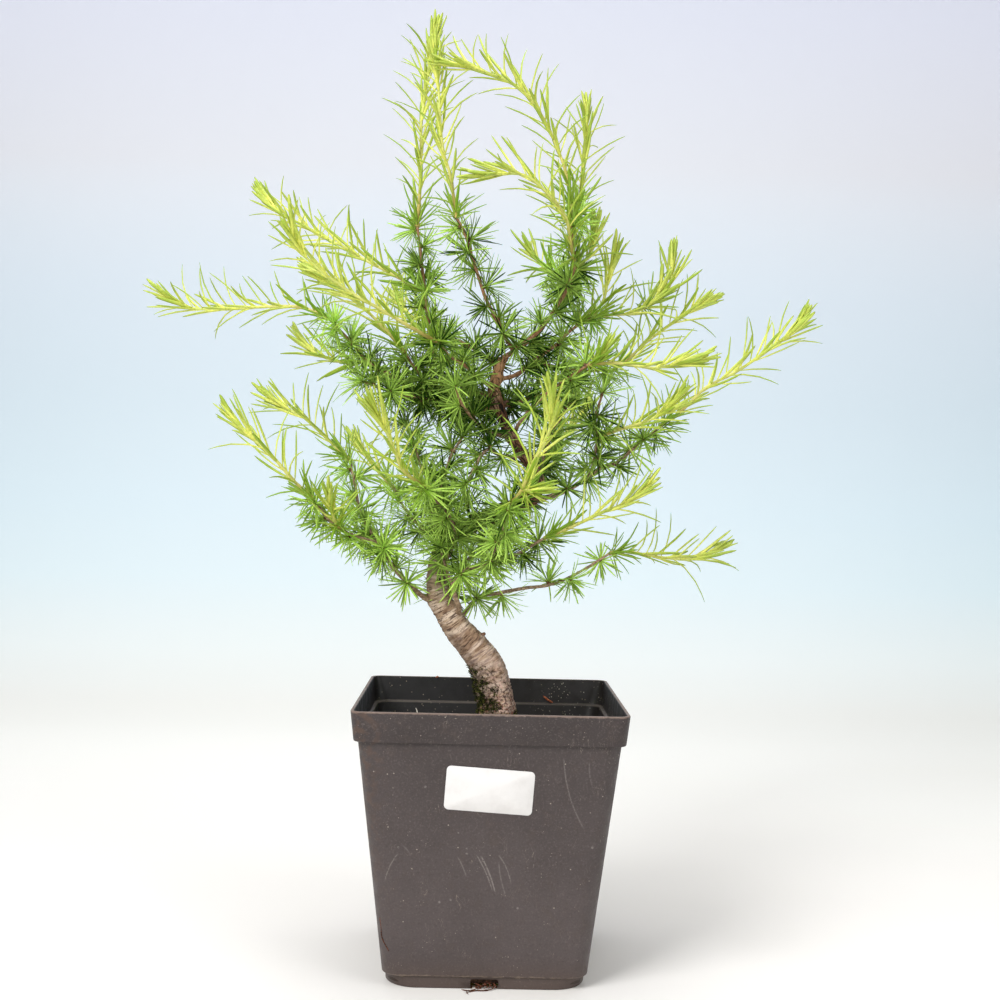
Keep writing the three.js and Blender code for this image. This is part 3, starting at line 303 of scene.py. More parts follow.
# This year's long shoots: node, what carries it, radius at its foot, route to the end of its furthest needles
SHOOTS = [
    ("shoot_top_arch", "leader", 1, [(37, 384, 4), (34, 401, 2), (30, 412, 0), (25, 423, -3),
        (13, 441, -10), (-2, 450, -16), (-16, 454, -22), (-28, 456, -27), (-41, 457, -32)]),
    ("shoot_top_right", "leader", 1, [(38, 376, 5), (41, 386, 10), (42, 398, 13), (43, 410, 16),
        (44, 430, 20), (43, 446, 22)]),
    ("shoot_inner_arch", "leader", 1, [(39, 356, 5), (37, 366, -6), (34, 379, -17), (22, 393, -28),
        (13, 399.5, -33), (-1, 400, -40), (-12, 399, -45), (-22.5, 397, -50)]),
    ("shoot_top_short", "leader", 0.9, [(39, 352, 5), (46, 358, 13), (49, 371, 19), (49, 385, 24)]),
    ("shoot_top_left", "twig_upright_left", 1.1, [(-42, 372, 12), (-41, 393, 10), (-41, 410, 8),
        (-41, 428, 6), (-39, 441, 5), (-38, 455, 3), (-36, 468, 2), (-32, 486, 0)]),
    ("shoot_top_mid", "twig_upright_mid", 1, [(-22, 377, -16), (-26, 400, -18), (-29, 409, -19),
        (-31, 421, -20), (-32, 435, -20), (-33, 446, -20), (-35, 462, -20), (-36, 476, -21)]),
    ("shoot_left_back", "twig_upright_left", 1.1, [(-38, 338, 12), (-54, 347, 24), (-68, 354, 34),
        (-80, 361, 42), (-92, 366, 48), (-102, 372, 52), (-113, 377, 56), (-121, 386, 58),
        (-128, 396, 60)]),
    ("shoot_left_high", "twig_left_high", 1.1, [(-87, 324, 26), (-101, 329, 29), (-118, 329, 30),
        (-143, 327, 29), (-160, 328, 26), (-171, 334, 22), (-179, 345, 18)]),
    ("shoot_left_behind", "twig_left_high", 0.9, [(-65, 302, 20), (-78, 301, 34), (-94, 306, 44),
        (-100, 312, 48), (-104, 323, 54)]),
    ("shoot_left_mid", "twig_left_high", 1, [(-47, 307, -1), (-55, 316, -6), (-68, 329, -12),
        (-79, 337, -18), (-92, 345, -24), (-107, 352, -30)]),
    ("shoot_left_front", "twig_left_inner", 1.1, [(-31, 313, -30), (-44, 320, -40), (-60, 329, -48),
        (-75, 337, -54), (-97, 353, -62), (-105, 364, -68), (-107, 386, -80)]),
    ("shoot_left_low", "twig_left_low", 1.1, [(-92, 230, -32), (-103, 240, -36), (-113, 251, -40),
        (-124, 261, -42), (-135, 272, -44), (-138, 286, -46)]),
    ("shoot_low_front", "twig_left_low", 0.9, [(-79, 216, -27), (-82, 222, -38), (-84, 231, -50),
        (-83, 242, -62)]),
    ("shoot_low_back", "twig_left_low_back", 1, [(-74, 251, 12), (-83, 259, 16), (-93, 268, 20),
        (-99, 273, 22), (-110, 278, 26), (-117, 283, 28), (-127, 290, 30)]),
    ("shoot_front_left", "twig_front_left", 1.1, [(-36, 238, -42), (-47, 247, -54), (-50, 254, -60),
        (-57, 269, -70), (-63, 279, -78), (-70, 289, -86)]),
    ("shoot_front", "twig_front", 1.1, [(9, 230, -52), (14, 236, -58), (21, 253, -68), (26, 262, -74),
        (30, 278, -82), (26, 300, -92)]),
    ("shoot_front", "shoot_front", 0.9, [(14, 238, -58), (24, 238, -63), (36, 243, -68)]),
    ("shoot_right_high", "twig_right_high", 1, [(49, 328, 27), (62, 329, 30), (70, 330, 32), (80, 336, 34),
        (84, 344, 35), (81, 357, 36)]),
    ("shoot_right_high", "shoot_right_high", 0.9, [(76, 333, 33), (88, 343, 41), (90, 357, 46),
        (90, 371, 48)]),
    ("shoot_right_short", "twig_right_high", 0.9, [(42, 323, 25), (54, 335, 34), (57, 347, 38),
        (60, 361, 41), (60, 373, 43)]),
    ("shoot_right_back", "twig_right_high", 1, [(60, 300, 36), (68, 306, 40), (77, 315, 44), (96, 329, 51),
        (107, 336, 54), (120, 340, 58)]),
    ("shoot_right_mid", "twig_right_mid", 1, [(48, 303, -22), (62, 304, -26), (82, 302, -32),
        (92, 304, -35), (102, 306, -38), (115, 316, -43)]),
    ("shoot_right_mid", "shoot_right_mid", 0.9, [(50, 303, -23), (57, 312, -20), (66, 321, -16)]),
    ("shoot_right_low", "twig_right_low", 1.1, [(85, 272, 12), (96, 280, 12), (108, 292, 12),
        (122, 300, 12), (137, 310, 10), (151, 321, 8), (158, 330, 6), (165, 339, 4)]),
    ("shoot_right_inner", "twig_right_low", 0.9, [(53, 266, -6), (68, 271, -14), (77, 274, -20),
        (85, 278, -25), (95, 289, -32), (98, 299, -38)]),
    ("shoot_right_front", "twig_right_front", 1, [(27, 213, -24), (41, 219, -25), (54, 226, -25),
        (66, 231, -25), (76, 238, -24), (87, 252, -22)]),
    ("shoot_right_lowest", "twig_right_lowest", 1, [(61, 206, 39), (70, 207, 41), (84, 205, 45),
        (104, 204, 50), (116, 209, 54), (126, 215, 58)]),
    ("shoot_back_top", "twig_back_top", 0.9, [(28, 350, 58), (20, 356, 74), (14, 366, 96)]),
    ("shoot_back_high", "twig_back_high", 1, [(-27, 317, 54), (-38, 322, 70), (-48, 330, 88),
        (-54, 342, 108)]),
    ("shoot_back_mid", "twig_back_mid", 1, [(30, 257, 60), (36, 266, 76), (44, 276, 94), (50, 290, 112)]),
    ("shoot_back_low", "twig_back_low", 1, [(-51, 237, 50), (-60, 246, 66), (-68, 256, 82),
        (-76, 268, 98)]),
]

def reckoning(operation, swapped=False):
    """An operator between a value and another, or a number, that a Math node works out."""

    def work(self, other):
        pair = (other, self) if swapped else (self, other)
        return self.tree.add("ShaderNodeMath", {"operation": operation}, pair)

    return work


class Value:
    """An output of a node that can stand in a sum."""

    __add__ = reckoning("ADD")
    __radd__ = reckoning("ADD", True)
    __sub__ = reckoning("SUBTRACT")
    __rsub__ = reckoning("SUBTRACT", True)
    __mul__ = reckoning("MULTIPLY")
    __rmul__ = reckoning("MULTIPLY", True)
    __truediv__ = reckoning("DIVIDE")
    __rtruediv__ = reckoning("DIVIDE", True)
    __pow__ = reckoning("POWER")
    __rpow__ = reckoning("POWER", True)
    most = reckoning("MAXIMUM")
    above = reckoning("GREATER_THAN")

    def __init__(self, tree, socket):
        self.tree = tree
        self.socket = socket

    def other(self, name):
        """Another output of the same node."""
        return Value(self.tree, self.socket.node.outputs[name])

    def away(self, middle):
        """How far this is from a middle value, either way."""
        return (self - middle).most(middle - self)

    def between(self, low, high, to_low=0.0, to_high=1.0, smooth=True):
        """This value mapped from one range onto another, held at both ends."""
        kind = "SMOOTHSTEP" if smooth else "LINEAR"
        sockets = {"Value": self, "From Min": low, "From Max": high, "To Min": to_low, "To Max": to_high}
        return self.tree.add("ShaderNodeMapRange", {"interpolation_type": kind}, sockets)

    def coated(self, share, red, green, blue):
        """This colour with another one laid over it, as thick as its share."""
        return self.tree.mix(share, self, srgb(red, green, blue))


class Tree:
    """Adds nodes to the tree of a material or of a Geometry Nodes group."""

    def __init__(self, nodes):
        self.nodes = nodes

    def add(self, kind, settings=None, inputs=(), output=None):
        """One node: its settings first, then the values or links of its sockets."""
        node = self.nodes.nodes.new(kind)
        for name, value in (settings or {}).items():
            if name == "stops":
                self.set_stops(node.color_ramp, value)
            else:
                setattr(node, name, value)
        for key, value in inputs.items() if isinstance(inputs, dict) else enumerate(inputs):
            socket = node.inputs[key] if isinstance(key, int) else self.named(node.inputs, key)
            if isinstance(value, list):
                for part in reversed(value):
                    self.nodes.links.new(part.socket, socket)
            elif isinstance(value, Value):
                self.nodes.links.new(value.socket, socket)
            else:
                socket.default_value = value
        if output is None:
            return Value(self, next(s for s in node.outputs if s.enabled))
        return Value(self, self.named(node.outputs, output))

    @staticmethod
    def named(sockets, name):
        return next(s for s in sockets if s.name == name and s.enabled)

    @staticmethod
    def set_stops(ramp, stops):
        while len(ramp.elements) < len(stops):
            ramp.elements.new(1)
        for element, (place, colour) in zip(ramp.elements, stops):
            element.position = place
            element.color = (*colour, 1)

    def mix(self, share, first, second):
        """Mixes two colours."""
        first, second = (side if isinstance(side, Value) else (*side, 1) for side in (first, second))
        return self.add("ShaderNodeMix", {"data_type": "RGBA"}, {"Factor": share, "A": first, "B": second})

    def vector(self, operation, *values):
        return self.add("ShaderNodeVectorMath", {"operation": operation}, values)

    def scaled(self, vector, factor):
        return self.add("ShaderNodeVectorMath", {"operation": "SCALE"}, {"Vector": vector, "Scale": factor})


def srgb(red, green, blue):
    """A colour given as it looks on a screen, 0 to 255."""
    return tuple(((c / 255 + 0.055) / 1.055) ** 2.4 if c > 10 else c / 3295 for c in (red, green, blue))


class Finish(Tree):
    """A material that is worked out from places on the object."""

    def __init__(self, name, **constants):
        self.material = bpy.data.materials.new(name)
        self.material.use_nodes = True
        super().__init__(self.material.node_tree)
        self.shader = self.nodes.nodes["Principled BSDF"]
        for socket, value in constants.items():
            self.shader.inputs[socket.replace("_", " ")].default_value = value
        self.place = self.add("ShaderNodeTexCoord", output="Object")

    def along(self, axis):
        """How far along an axis a place is, in millimetres."""
        return self.add("ShaderNodeSeparateXYZ", inputs=[self.place], output=axis) / MM

    def noise(self, size, detail=4, rough=0.55, place=None, output="Fac"):
        """Noise whose features are about so many millimetres across."""
        place = place or self.place
        sockets = {"Vector": place, "Scale": 1 / (size * MM), "Detail": detail, "Roughness": rough}
        return self.add("ShaderNodeTexNoise", {}, sockets, output)

    def cells(self, size):
        """How far the middle of the nearest grain is, with grains about so many millimetres apart."""
        sockets = {"Vector": self.place, "Scale": 1 / (size * MM)}
        return self.add("ShaderNodeTexVoronoi", {"feature": "F1"}, sockets, "Distance")

    def attribute(self, name, output="Fac"):
        return self.add("ShaderNodeAttribute", {"attribute_name": name}, output=output)

    def set(self, **sockets):
        for name, value in sockets.items():
            self.nodes.links.new(value.socket, self.shader.inputs[name.replace("_", " ")])
        return self.material

    def bump(self, height, distance, strength=1.0):
        """Relief from a height of 0 to 1 that stands so many millimetres proud."""
        sockets = {"Strength": strength, "Distance": distance * MM, "Height": height}
        return self.add("ShaderNodeBump", {}, sockets)


class Growth(Tree):
    """A Geometry Nodes tree with named inputs, whose result is kept as a plain mesh."""

    SOCKETS = {float: "NodeSocketFloat", int: "NodeSocketInt", bpy.types.Material: "NodeSocketMaterial",
               bpy.types.Object: "NodeSocketObject"}

    def __init__(self, name, **sizes):
        group = bpy.data.node_groups.new(name, "GeometryNodeTree")
        super().__init__(group)
        for way in ("INPUT", "OUTPUT"):
            group.interface.new_socket("Geometry", in_out=way, socket_type="NodeSocketGeometry")
        self.keys = {}
        for label, value in sizes.items():
            kind = next(kind for base, kind in self.SOCKETS.items() if isinstance(value, base))
            socket = group.interface.new_socket(label, in_out="INPUT", socket_type=kind)
            socket.default_value = value
            self.keys[label] = socket.identifier
        entry = group.nodes.new("NodeGroupInput")
        self.start = Value(self, entry.outputs["Geometry"])
        self.size = {label: Value(self, entry.outputs[label]) for label in sizes}
        self.end = group.nodes.new("NodeGroupOutput")

    def finish(self, *parts):
        joined = self.add("GeometryNodeJoinGeometry", inputs=[list(parts)])
        whole = self.add("GeometryNodeRealizeInstances", inputs=[joined])
        self.nodes.links.new(whole.socket, self.end.inputs["Geometry"])
        return self

    def grow(self, name, base, **sizes):
        """Runs the tree on a mesh, and gives the result as a piece of its own."""
        holder = linked(name, base)
        modifier = holder.modifiers.new("Growth", "NODES")
        modifier.node_group = self.nodes
        for label, value in sizes.items():
            modifier[self.keys[label]] = value
        mesh = worked(holder)
        mesh.name = name
        bpy.data.objects.remove(holder)
        for slot in reversed(range(len(mesh.materials))):
            if mesh.materials[slot] is None:
                mesh.materials.pop(index=slot)
        return linked(name, mesh)

    def random(self, low, high, salt):
        """A random number for each point."""
        sockets = {"Min": low, "Max": high, "Seed": self.size["Seed"] + salt}
        return self.add("FunctionNodeRandomValue", {"data_type": "FLOAT"}, sockets)

    def keep(self, geometry, name, value, kind="FLOAT"):
        """Stores a value on every point under a name."""
        return self.add("GeometryNodeStoreNamedAttribute", {"data_type": kind, "domain": "POINT"},
                        {"Geometry": geometry, "Name": name, "Value": value})

    def kept(self, name, kind="FLOAT"):
        """A value that was stored under a name."""
        return self.add("GeometryNodeInputNamedAttribute", {"data_type": kind}, {"Name": name})

    def three(self, x, y, z):
        return self.add("ShaderNodeCombineXYZ", inputs=[x, y, z])

    def turned(self, rotation, about_z, about_x):
        """A rotation turned on about its own Z and then about its own X."""
        for euler in (self.three(0.0, 0.0, about_z), self.three(about_x, 0.0, 0.0)):
            turn = self.add("FunctionNodeEulerToRotation", inputs=[euler])
            rotation = self.add("FunctionNodeRotateRotation", {"rotation_space": "LOCAL"},
                                {"Rotation": rotation, "Rotate By": turn})
        return rotation

    def rotated(self, rotation, vector):
        return self.add("FunctionNodeRotateVector", inputs={"Vector": vector, "Rotation": rotation})

    def heading(self, name, vector=(0.0, 0.0, 1.0)):
        """Where a direction points once it is turned by a stored rotation."""
        return self.rotated(self.kept(name, "QUATERNION"), vector)

    def moved(self, geometry, offset):
        return self.add("GeometryNodeSetPosition", inputs={"Geometry": geometry, "Offset": offset})

    def painted(self, geometry, material):
        return self.add("GeometryNodeSetMaterial", inputs={"Geometry": geometry, "Material": material})

    def smooth(self, geometry):
        return self.add("GeometryNodeSetShadeSmooth", inputs={"Geometry": geometry})

    def scattered(self, density, salt=0):
        """Points at random places on the mesh that the tree is run on, so many to the square metre."""
        sockets = {"Mesh": self.start, "Density": density, "Seed": self.size["Seed"] + salt}
        return self.add("GeometryNodeDistributePointsOnFaces", {}, sockets, "Points")

    def stood(self, points, label, rotation, scale):
        """A copy of a shape on every point."""
        shape = self.add("GeometryNodeObjectInfo", {"transform_space": "ORIGINAL"},
                         {"Object": self.size[label]}, "Geometry")
        copies = self.add("GeometryNodeInstanceOnPoints", inputs={
            "Points": points, "Instance": shape, "Rotation": rotation, "Scale": scale})
        return self.add("GeometryNodeRealizeInstances", inputs=[copies])

    def trimmed(self, curve, start, end):
        sockets = {"Curve": curve, "Start": start, "End": end}
        return self.add("GeometryNodeTrimCurve", {"mode": "LENGTH"}, sockets)

    def length(self):
        return self.add("GeometryNodeSplineLength", output="Length")

    def wood(self, curve, material):
        """A closed round stem, as thick as its points say, with small knots."""
        profile = self.add("GeometryNodeCurvePrimitiveCircle", {"mode": "RADIUS"},
                           {"Resolution": STEM_SIDES, "Radius": 1.0}, "Curve")
        stem = self.add("GeometryNodeCurveToMesh", inputs={
            "Curve": curve, "Profile Curve": profile, "Scale": self.kept("thickness"), "Fill Caps": True})
        lump = self.add("ShaderNodeTexNoise", {}, {"Scale": 1 / (KNOB_SIZE * MM), "Detail": 3}, "Fac")
        normal = self.add("GeometryNodeInputNormal")
        knobs = self.scaled(normal, (lump - 0.5) * self.kept("thickness") * KNOB_HEIGHT)
        return self.painted(self.smooth(self.moved(stem, knobs)), material)

    def spread(self, curve, spacing):
        """Points on a curve, each with the direction that the stem runs in."""
        sockets = {"Curve": curve, "Length": spacing}
        curve = self.add("GeometryNodeResampleCurve", {"mode": "LENGTH"}, sockets)
        points = self.add("GeometryNodeCurveToPoints", {"mode": "EVALUATED"}, {"Curve": curve})
        along = points.other("Tangent")
        aim = self.add("FunctionNodeAlignRotationToVector", {"axis": "Z"}, {"Vector": along})
        return self.keep(points, "aim", aim, "QUATERNION")

    def bent(self, points, rotation, scale, bend, material):
        """Needles stood on points, each bent more and more towards its tip."""
        points = self.keep(points, "bend", bend, "FLOAT_VECTOR")
        whole = self.stood(points, "Needle", rotation, scale)
        along = self.kept("along")
        whole = self.moved(whole, self.scaled(self.kept("bend", "FLOAT_VECTOR"), along * along))
        return self.painted(self.smooth(whole), material)

    def needles(self, points, rotation, length, width, bend):
        """Green needles on points, each bent outwards."""
        points = self.keep(points, "shade", self.random(0.0, 1.0, 40))
        scale = self.three(width, width * self.random(0.9, 1.1, 41), length)
        outward = self.scaled(self.rotated(rotation, (0.0, -1.0, 0.0)), bend)
        return self.bent(points, rotation, scale, outward, self.size["Leaf"])


def spun(x, y, angle):
    """A place on the ground turned about the upright line."""
    cos = math.cos(angle)
    sin = math.sin(angle)
    return x * cos - y * sin, x * sin + y * cos


def seen_at(across, up, back):
    """A place listed on the front view, moved along the line of sight to its own depth, set on the pot."""
    scale = 1 + back / EYE_DISTANCE
    x = EYE_X + (across - EYE_X) * scale + VIEW_SHIFT_X
    z = EYE_Z + (up - EYE_Z) * scale + VIEW_SHIFT_Z
    return np.array([*spun(x, back, math.radians(VIEW_TURN)), z])


def smooth_line(places, step):
    """A centripetal Catmull-Rom line through some places, with points about a step apart.

    The second result says where each point lies in the list of places, such as 2.5 for midway.
    """
    places = [np.array(place, dtype=float) for place in places]
    route = [2 * places[0] - places[1], *places, 2 * places[-1] - places[-2]]
    points = []
    listed = []
    for index, (p0, p1, p2, p3) in enumerate(zip(route, route[1:], route[2:], route[3:])):
        d0, d1, d2 = (math.sqrt(np.linalg.norm(b - a)) for a, b in ((p0, p1), (p1, p2), (p2, p3)))
        leave = ((p1 - p0) / d0 - (p2 - p0) / (d0 + d1) + (p2 - p1) / d1) * d1
        arrive = ((p2 - p1) / d1 - (p3 - p1) / (d1 + d2) + (p3 - p2) / d2) * d1
        t = np.linspace(0, 1, SPAN_STEPS, endpoint=False)[:, None]
        square = 3 * (p2 - p1) - 2 * leave - arrive
        cube = 2 * (p1 - p2) + leave + arrive
        points.append(p1 + leave * t + square * t**2 + cube * t**3)
        listed.append(index + t[:, 0])
    points = np.vstack([*points, places[-1][None]])
    listed = np.concatenate([*listed, [len(places) - 1.0]])
    run = np.concatenate([[0], np.cumsum(np.linalg.norm(np.diff(points, axis=0), axis=1))])
    even = np.linspace(0, run[-1], max(3, round(run[-1] / step) + 1))
    line = np.stack([np.interp(even, run, points[:, axis]) for axis in range(3)], axis=1)
    return line, np.interp(even, run, listed)


def distances(line):
    """How far along a line each of its points is."""
    return np.concatenate([[0], np.cumsum(np.linalg.norm(np.diff(line, axis=0), axis=1))])


def unit(direction):
    return direction / np.linalg.norm(direction)


def frames(line, side):
    """Each point of a line, its direction, and two directions across it that don't twist on the way."""
    for centre, tangent in zip(line, np.gradient(line, axis=0)):
        tangent = unit(tangent)
        side = unit(side - tangent * side.dot(tangent))
        yield centre, tangent, side, np.cross(tangent, side)


def openness(places):
    """From 0 deep inside the crown to 1 at its outside."""
    inner = (places - np.array(CROWN_MIDDLE)) / np.array(CROWN_REACH)
    return np.clip(np.linalg.norm(inner, axis=1), 0, 1)


def stem_mesh(name, stems, slimness):
    """The lines of one node's stems as a mesh of edges, with what grows on them as attributes."""
    mesh = bpy.data.meshes.new(name)
    places = np.vstack([stem["line"] for stem in stems])
    edges = []
    start = 0
    numbers = {}
    for stem in stems:
        line = stem["line"]
        count = len(line)
        edges += [(start + i, start + i + 1) for i in range(count - 1)]
        start += count
        run = distances(line)
        share = run / run[-1]
        collar = 1 + FOOT_SWELLING * np.exp(-run / FOOT_REACH)
        radius = stem["foot"] + (stem["tip"] - stem["foot"]) * share
        values = {
            "thickness": radius * collar * slimness * MM, "bare": stem["bare"] * MM,
            "margin": 0.0 if stem["crowned"] else ROSETTE_END * MM, "crowned": float(stem["crowned"]),
            "share": share, "left": (run[-1] - run) * MM}
        for key, value in values.items():
            numbers.setdefault(key, []).append(np.full(count, value))
    mesh.from_pydata(places * MM, edges, [])
    numbers = {key: np.concatenate(values) for key, values in numbers.items()}
    numbers["open"] = openness(places)
    add_numbers(mesh, **numbers)
    return mesh


def add_numbers(mesh, **numbers):
    """Stores a number, or a place, for every vertex under each name."""
    for key, values in numbers.items():
        values = np.asarray(values, dtype=np.float32)
        kind, slot = ("FLOAT_VECTOR", "vector") if values.ndim == 2 else ("FLOAT", "value")
        mesh.attributes.new(key, kind, "POINT").data.foreach_set(slot, values.ravel())


def needle_shape():
    """A needle of length 1 and width 1 along Z: flattened, keeled below, and pointed."""
    profile = [(0, 0.5), (0.08, 0.78), (0.3, 1), (0.62, 1), (0.85, 0.82), (0.96, 0.45)]
    vertices = []
    for along, width in profile:
        half = width / 2
        vertices += [(half, 0, along), (0, -0.24 * width, along), (-half, 0, along), (0, 0.3 * width, along)]
    vertices.append((0, 0, 1))
    tip = len(vertices) - 1
    faces = [(3, 2, 1, 0)]
    for ring in range(len(profile) - 1):
        low = ring * 4
        for side in range(4):
            other = (side + 1) % 4
            faces.append((low + side, low + other, low + other + 4, low + side + 4))
    last = tip - 4
    faces += [(last + side, last + (side + 1) % 4, tip) for side in range(4)]
    return shape_object("Needle", vertices, faces, along=[v[2] for v in vertices])


def circle(radius, up, sides):
    """Places round the upright line at one height."""
    angles = [2 * math.pi * side / sides for side in range(sides)]
    return [(radius * math.cos(angle), radius * math.sin(angle), up) for angle in angles]


def arc(middle_x, middle_y, radius, quarter, steps):
    """Places along one quarter of a circle, counted from the right."""
    angles = [math.pi / 2 * (quarter + i / steps) for i in range(steps + 1)]
    return [(middle_x + radius * math.cos(angle), middle_y + radius * math.sin(angle)) for angle in angles]


def bud_shape():
    """A short spur with rings of old scales and a round bud on top."""
    profile = [(-1.6, 0.75), (-0.9, 0.85), (-0.6, 1.02), (-0.3, 0.86), (0, 1.08), (0.3, 0.9),
               (0.6, 1.05), (1.0, 0.85), (1.35, 0.5)]
    rings = [circle(radius * MM, up * MM, BUD_SIDES) for up, radius in profile]
    return shape_object("Bud", *lofted(rings, (0, 0, -1.7 * MM), (0, 0, 1.6 * MM)))


def crumb_shape():
    """An uneven clod about one millimetre across."""
    rings = []
    for up, radius in [(-0.42, 0.24), (-0.2, 0.45), (0.12, 0.5), (0.36, 0.3)]:
        ring = [Vector(place) for place in circle(radius, up, CRUMB_SIDES)]
        rings.append([place * (1 + 0.5 * noise.noise(place * 2.2)) * MM for place in ring])
    return shape_object("Crumb", *lofted(rings, (0, 0, -0.48 * MM), (0, 0, 0.45 * MM)))


def moss_leaf_shape():
    """A tiny pointed leaf of width 1 and length 1 along Z."""
    vertices = [(0.3, 0, 0), (-0.15, 0.25, 0), (-0.15, -0.25, 0), (0.5, 0, 0.45), (-0.25, 0.4, 0.45),
                (-0.25, -0.4, 0.45), (0.2, 0, 1)]
    faces = [(2, 1, 0), (0, 1, 4, 3), (1, 2, 5, 4), (2, 0, 3, 5), (3, 4, 6), (4, 5, 6), (5, 3, 6)]
    return shape_object("Moss leaf", vertices, faces)


def shape_object(name, vertices, faces, **numbers):
    """A small shape that the growth trees repeat; it is removed before the end."""
    mesh = bpy.data.meshes.new(name)
    mesh.from_pydata([tuple(map(float, v)) for v in vertices], [], faces)
    add_numbers(mesh, **numbers)
    return linked(name, mesh)


def twig_growth(needle, bud, wood, leaf, scales):
    """Brown wood with rosettes of needles wound round it, each on its own bud."""
    growth = Growth("Twig with rosettes", Spacing=ROSETTE_SPACING * MM, Jitter=0.3, Lean=math.radians(70),
                    Needles=42, Length=ROSETTE_NEEDLE * MM, Width=ROSETTE_WIDTH * MM, Foot=0.5 * MM, Seed=1,
                    Needle=needle, Bud=bud, Wood=wood, Leaf=leaf, Scales=scales)
    size = growth.size
    curve = growth.add("GeometryNodeMeshToCurve", inputs=[growth.start])
    leafy = growth.trimmed(curve, growth.kept("bare"), growth.length() - growth.kept("margin"))
    points = growth.spread(leafy, size["Spacing"])

    # Each rosette leans out a golden angle on from the last; the one that ends a crowned twig looks along it
    crown = growth.kept("share").above(0.995) * growth.kept("crowned")
    lean = size["Lean"] * (1 - crown) + growth.random(-0.3, 0.3, 1)
    spin = growth.add("GeometryNodeInputIndex") * GOLDEN + growth.random(-0.5, 0.5, 2)
    turn = growth.turned(growth.kept("aim", "QUATERNION"), spin, lean)
    jitter = size["Spacing"] * size["Jitter"] * growth.random(-1.0, 1.0, 3) * (1 - crown)
    points = growth.keep(points, "turn", turn, "QUATERNION")
    points = growth.moved(points, growth.scaled(growth.heading("aim"), jitter))
    points = growth.moved(points, growth.scaled(growth.heading("turn"), growth.kept("thickness") + 0.6 * MM))
    points = growth.keep(points, "fresh", growth.random(0.0, 1.0, 4))
    points = growth.keep(points, "count", size["Needles"] * growth.random(0.75, 1.15, 5))
    points = growth.keep(points, "size", growth.random(0.8, 1.08, 6))
    bud_size = growth.random(0.75, 1.15, 7)
    buds = growth.stood(points, "Bud", growth.kept("turn", "QUATERNION"), growth.three(*[bud_size] * 3))

    # Its needles fan out from the bud's tip, the inner ones upright and the outer ones level
    copies = growth.add("GeometryNodeDuplicateElements", {"domain": "POINT"},
                        {"Geometry": points, "Amount": growth.kept("count")})
    number = copies.other("Duplicate Index")
    points = growth.keep(copies, "inward", (number + 0.5) / growth.kept("count"))
    points = growth.keep(points, "number", number)
    polar = math.radians(4) + math.radians(88) * growth.kept("inward") ** 0.6 + growth.random(-0.18, 0.18, 8)
    spin = growth.kept("number") * GOLDEN + growth.random(-0.35, 0.35, 9)
    rotation = growth.turned(growth.kept("turn", "QUATERNION"), spin, polar)
    points = growth.keep(points, "needle_turn", rotation, "QUATERNION")
    points = growth.moved(points, growth.scaled(growth.heading("needle_turn"), size["Foot"]))
    length = size["Length"] * growth.kept("size") * growth.random(0.72, 1.1, 10)
    bend = length * growth.random(-0.1, 0.34, 11)
    leaves = growth.needles(points, growth.kept("needle_turn", "QUATERNION"), length, size["Width"], bend)
    return growth.finish(growth.wood(curve, size["Wood"]), growth.painted(buds, size["Scales"]), leaves)


def shoot_growth(needle, wood, leaf):
    """A yellow-green stem with single needles wound round it, closing into a tuft at the tip."""
    growth = Growth("Long shoot", Spacing=1.75 * MM, Lean=math.radians(30), Length=SHOOT_NEEDLE * MM,
                    Width=SHOOT_WIDTH * MM, Lift=0.22, Tuft=16 * MM, Tuft_spacing=1.15 * MM,
                    Tuft_reach=TUFT_REACH * MM, Tuft_width=TUFT_WIDTH * MM, Foot=3 * MM,
                    Foot_spacing=0.16 * MM, Seed=1, Needle=needle, Wood=wood, Leaf=leaf)
    size = growth.size
    curve = growth.add("GeometryNodeMeshToCurve", inputs=[growth.start])
    end = growth.length()
    share = growth.kept("share")
    left = growth.kept("left")

    leafy = growth.trimmed(curve, growth.kept("bare"), end - size["Tuft"] * 0.8)
    points = growth.spread(leafy, size["Spacing"])
    length = size["Length"] * growth.random(0.76, 1.08, 1) * (0.74 + share * 1.5 - share * share * 1.4)
    lean = size["Lean"] + growth.random(-0.2, 0.34, 2) + (1 - share) * 0.3
    bend = length * growth.random(-0.26, 0.54, 3)
    singles = wound_needles(growth, points, lean, length, size["Width"], bend, 4, size["Lift"])

    points = growth.spread(growth.trimmed(curve, 0.0, size["Foot"]), size["Foot_spacing"])
    length = size["Length"] * growth.random(0.6, 0.78, 21)
    lean = growth.random(0.25, 1.5, 22)
    bend = length * growth.random(-0.05, 0.26, 23)
    whorl = wound_needles(growth, points, lean, length, size["Width"] * 0.7, bend, 24, 0.0)

    points = growth.spread(growth.trimmed(curve, end - size["Tuft"], end), size["Tuft_spacing"])
    length = (left * 0.72 + size["Tuft_reach"]) * growth.random(0.66, 1.06, 7)
    lean = math.radians(2) + left / size["Tuft"] * 0.24 + growth.random(0.0, 0.14, 8)
    bend = length * growth.random(-0.06, 0.12, 9)
    tuft = wound_needles(growth, points, lean, length, size["Tuft_width"], bend, 10, size["Lift"] * 0.25)
    return growth.finish(growth.wood(curve, size["Wood"]), singles, whorl, tuft)


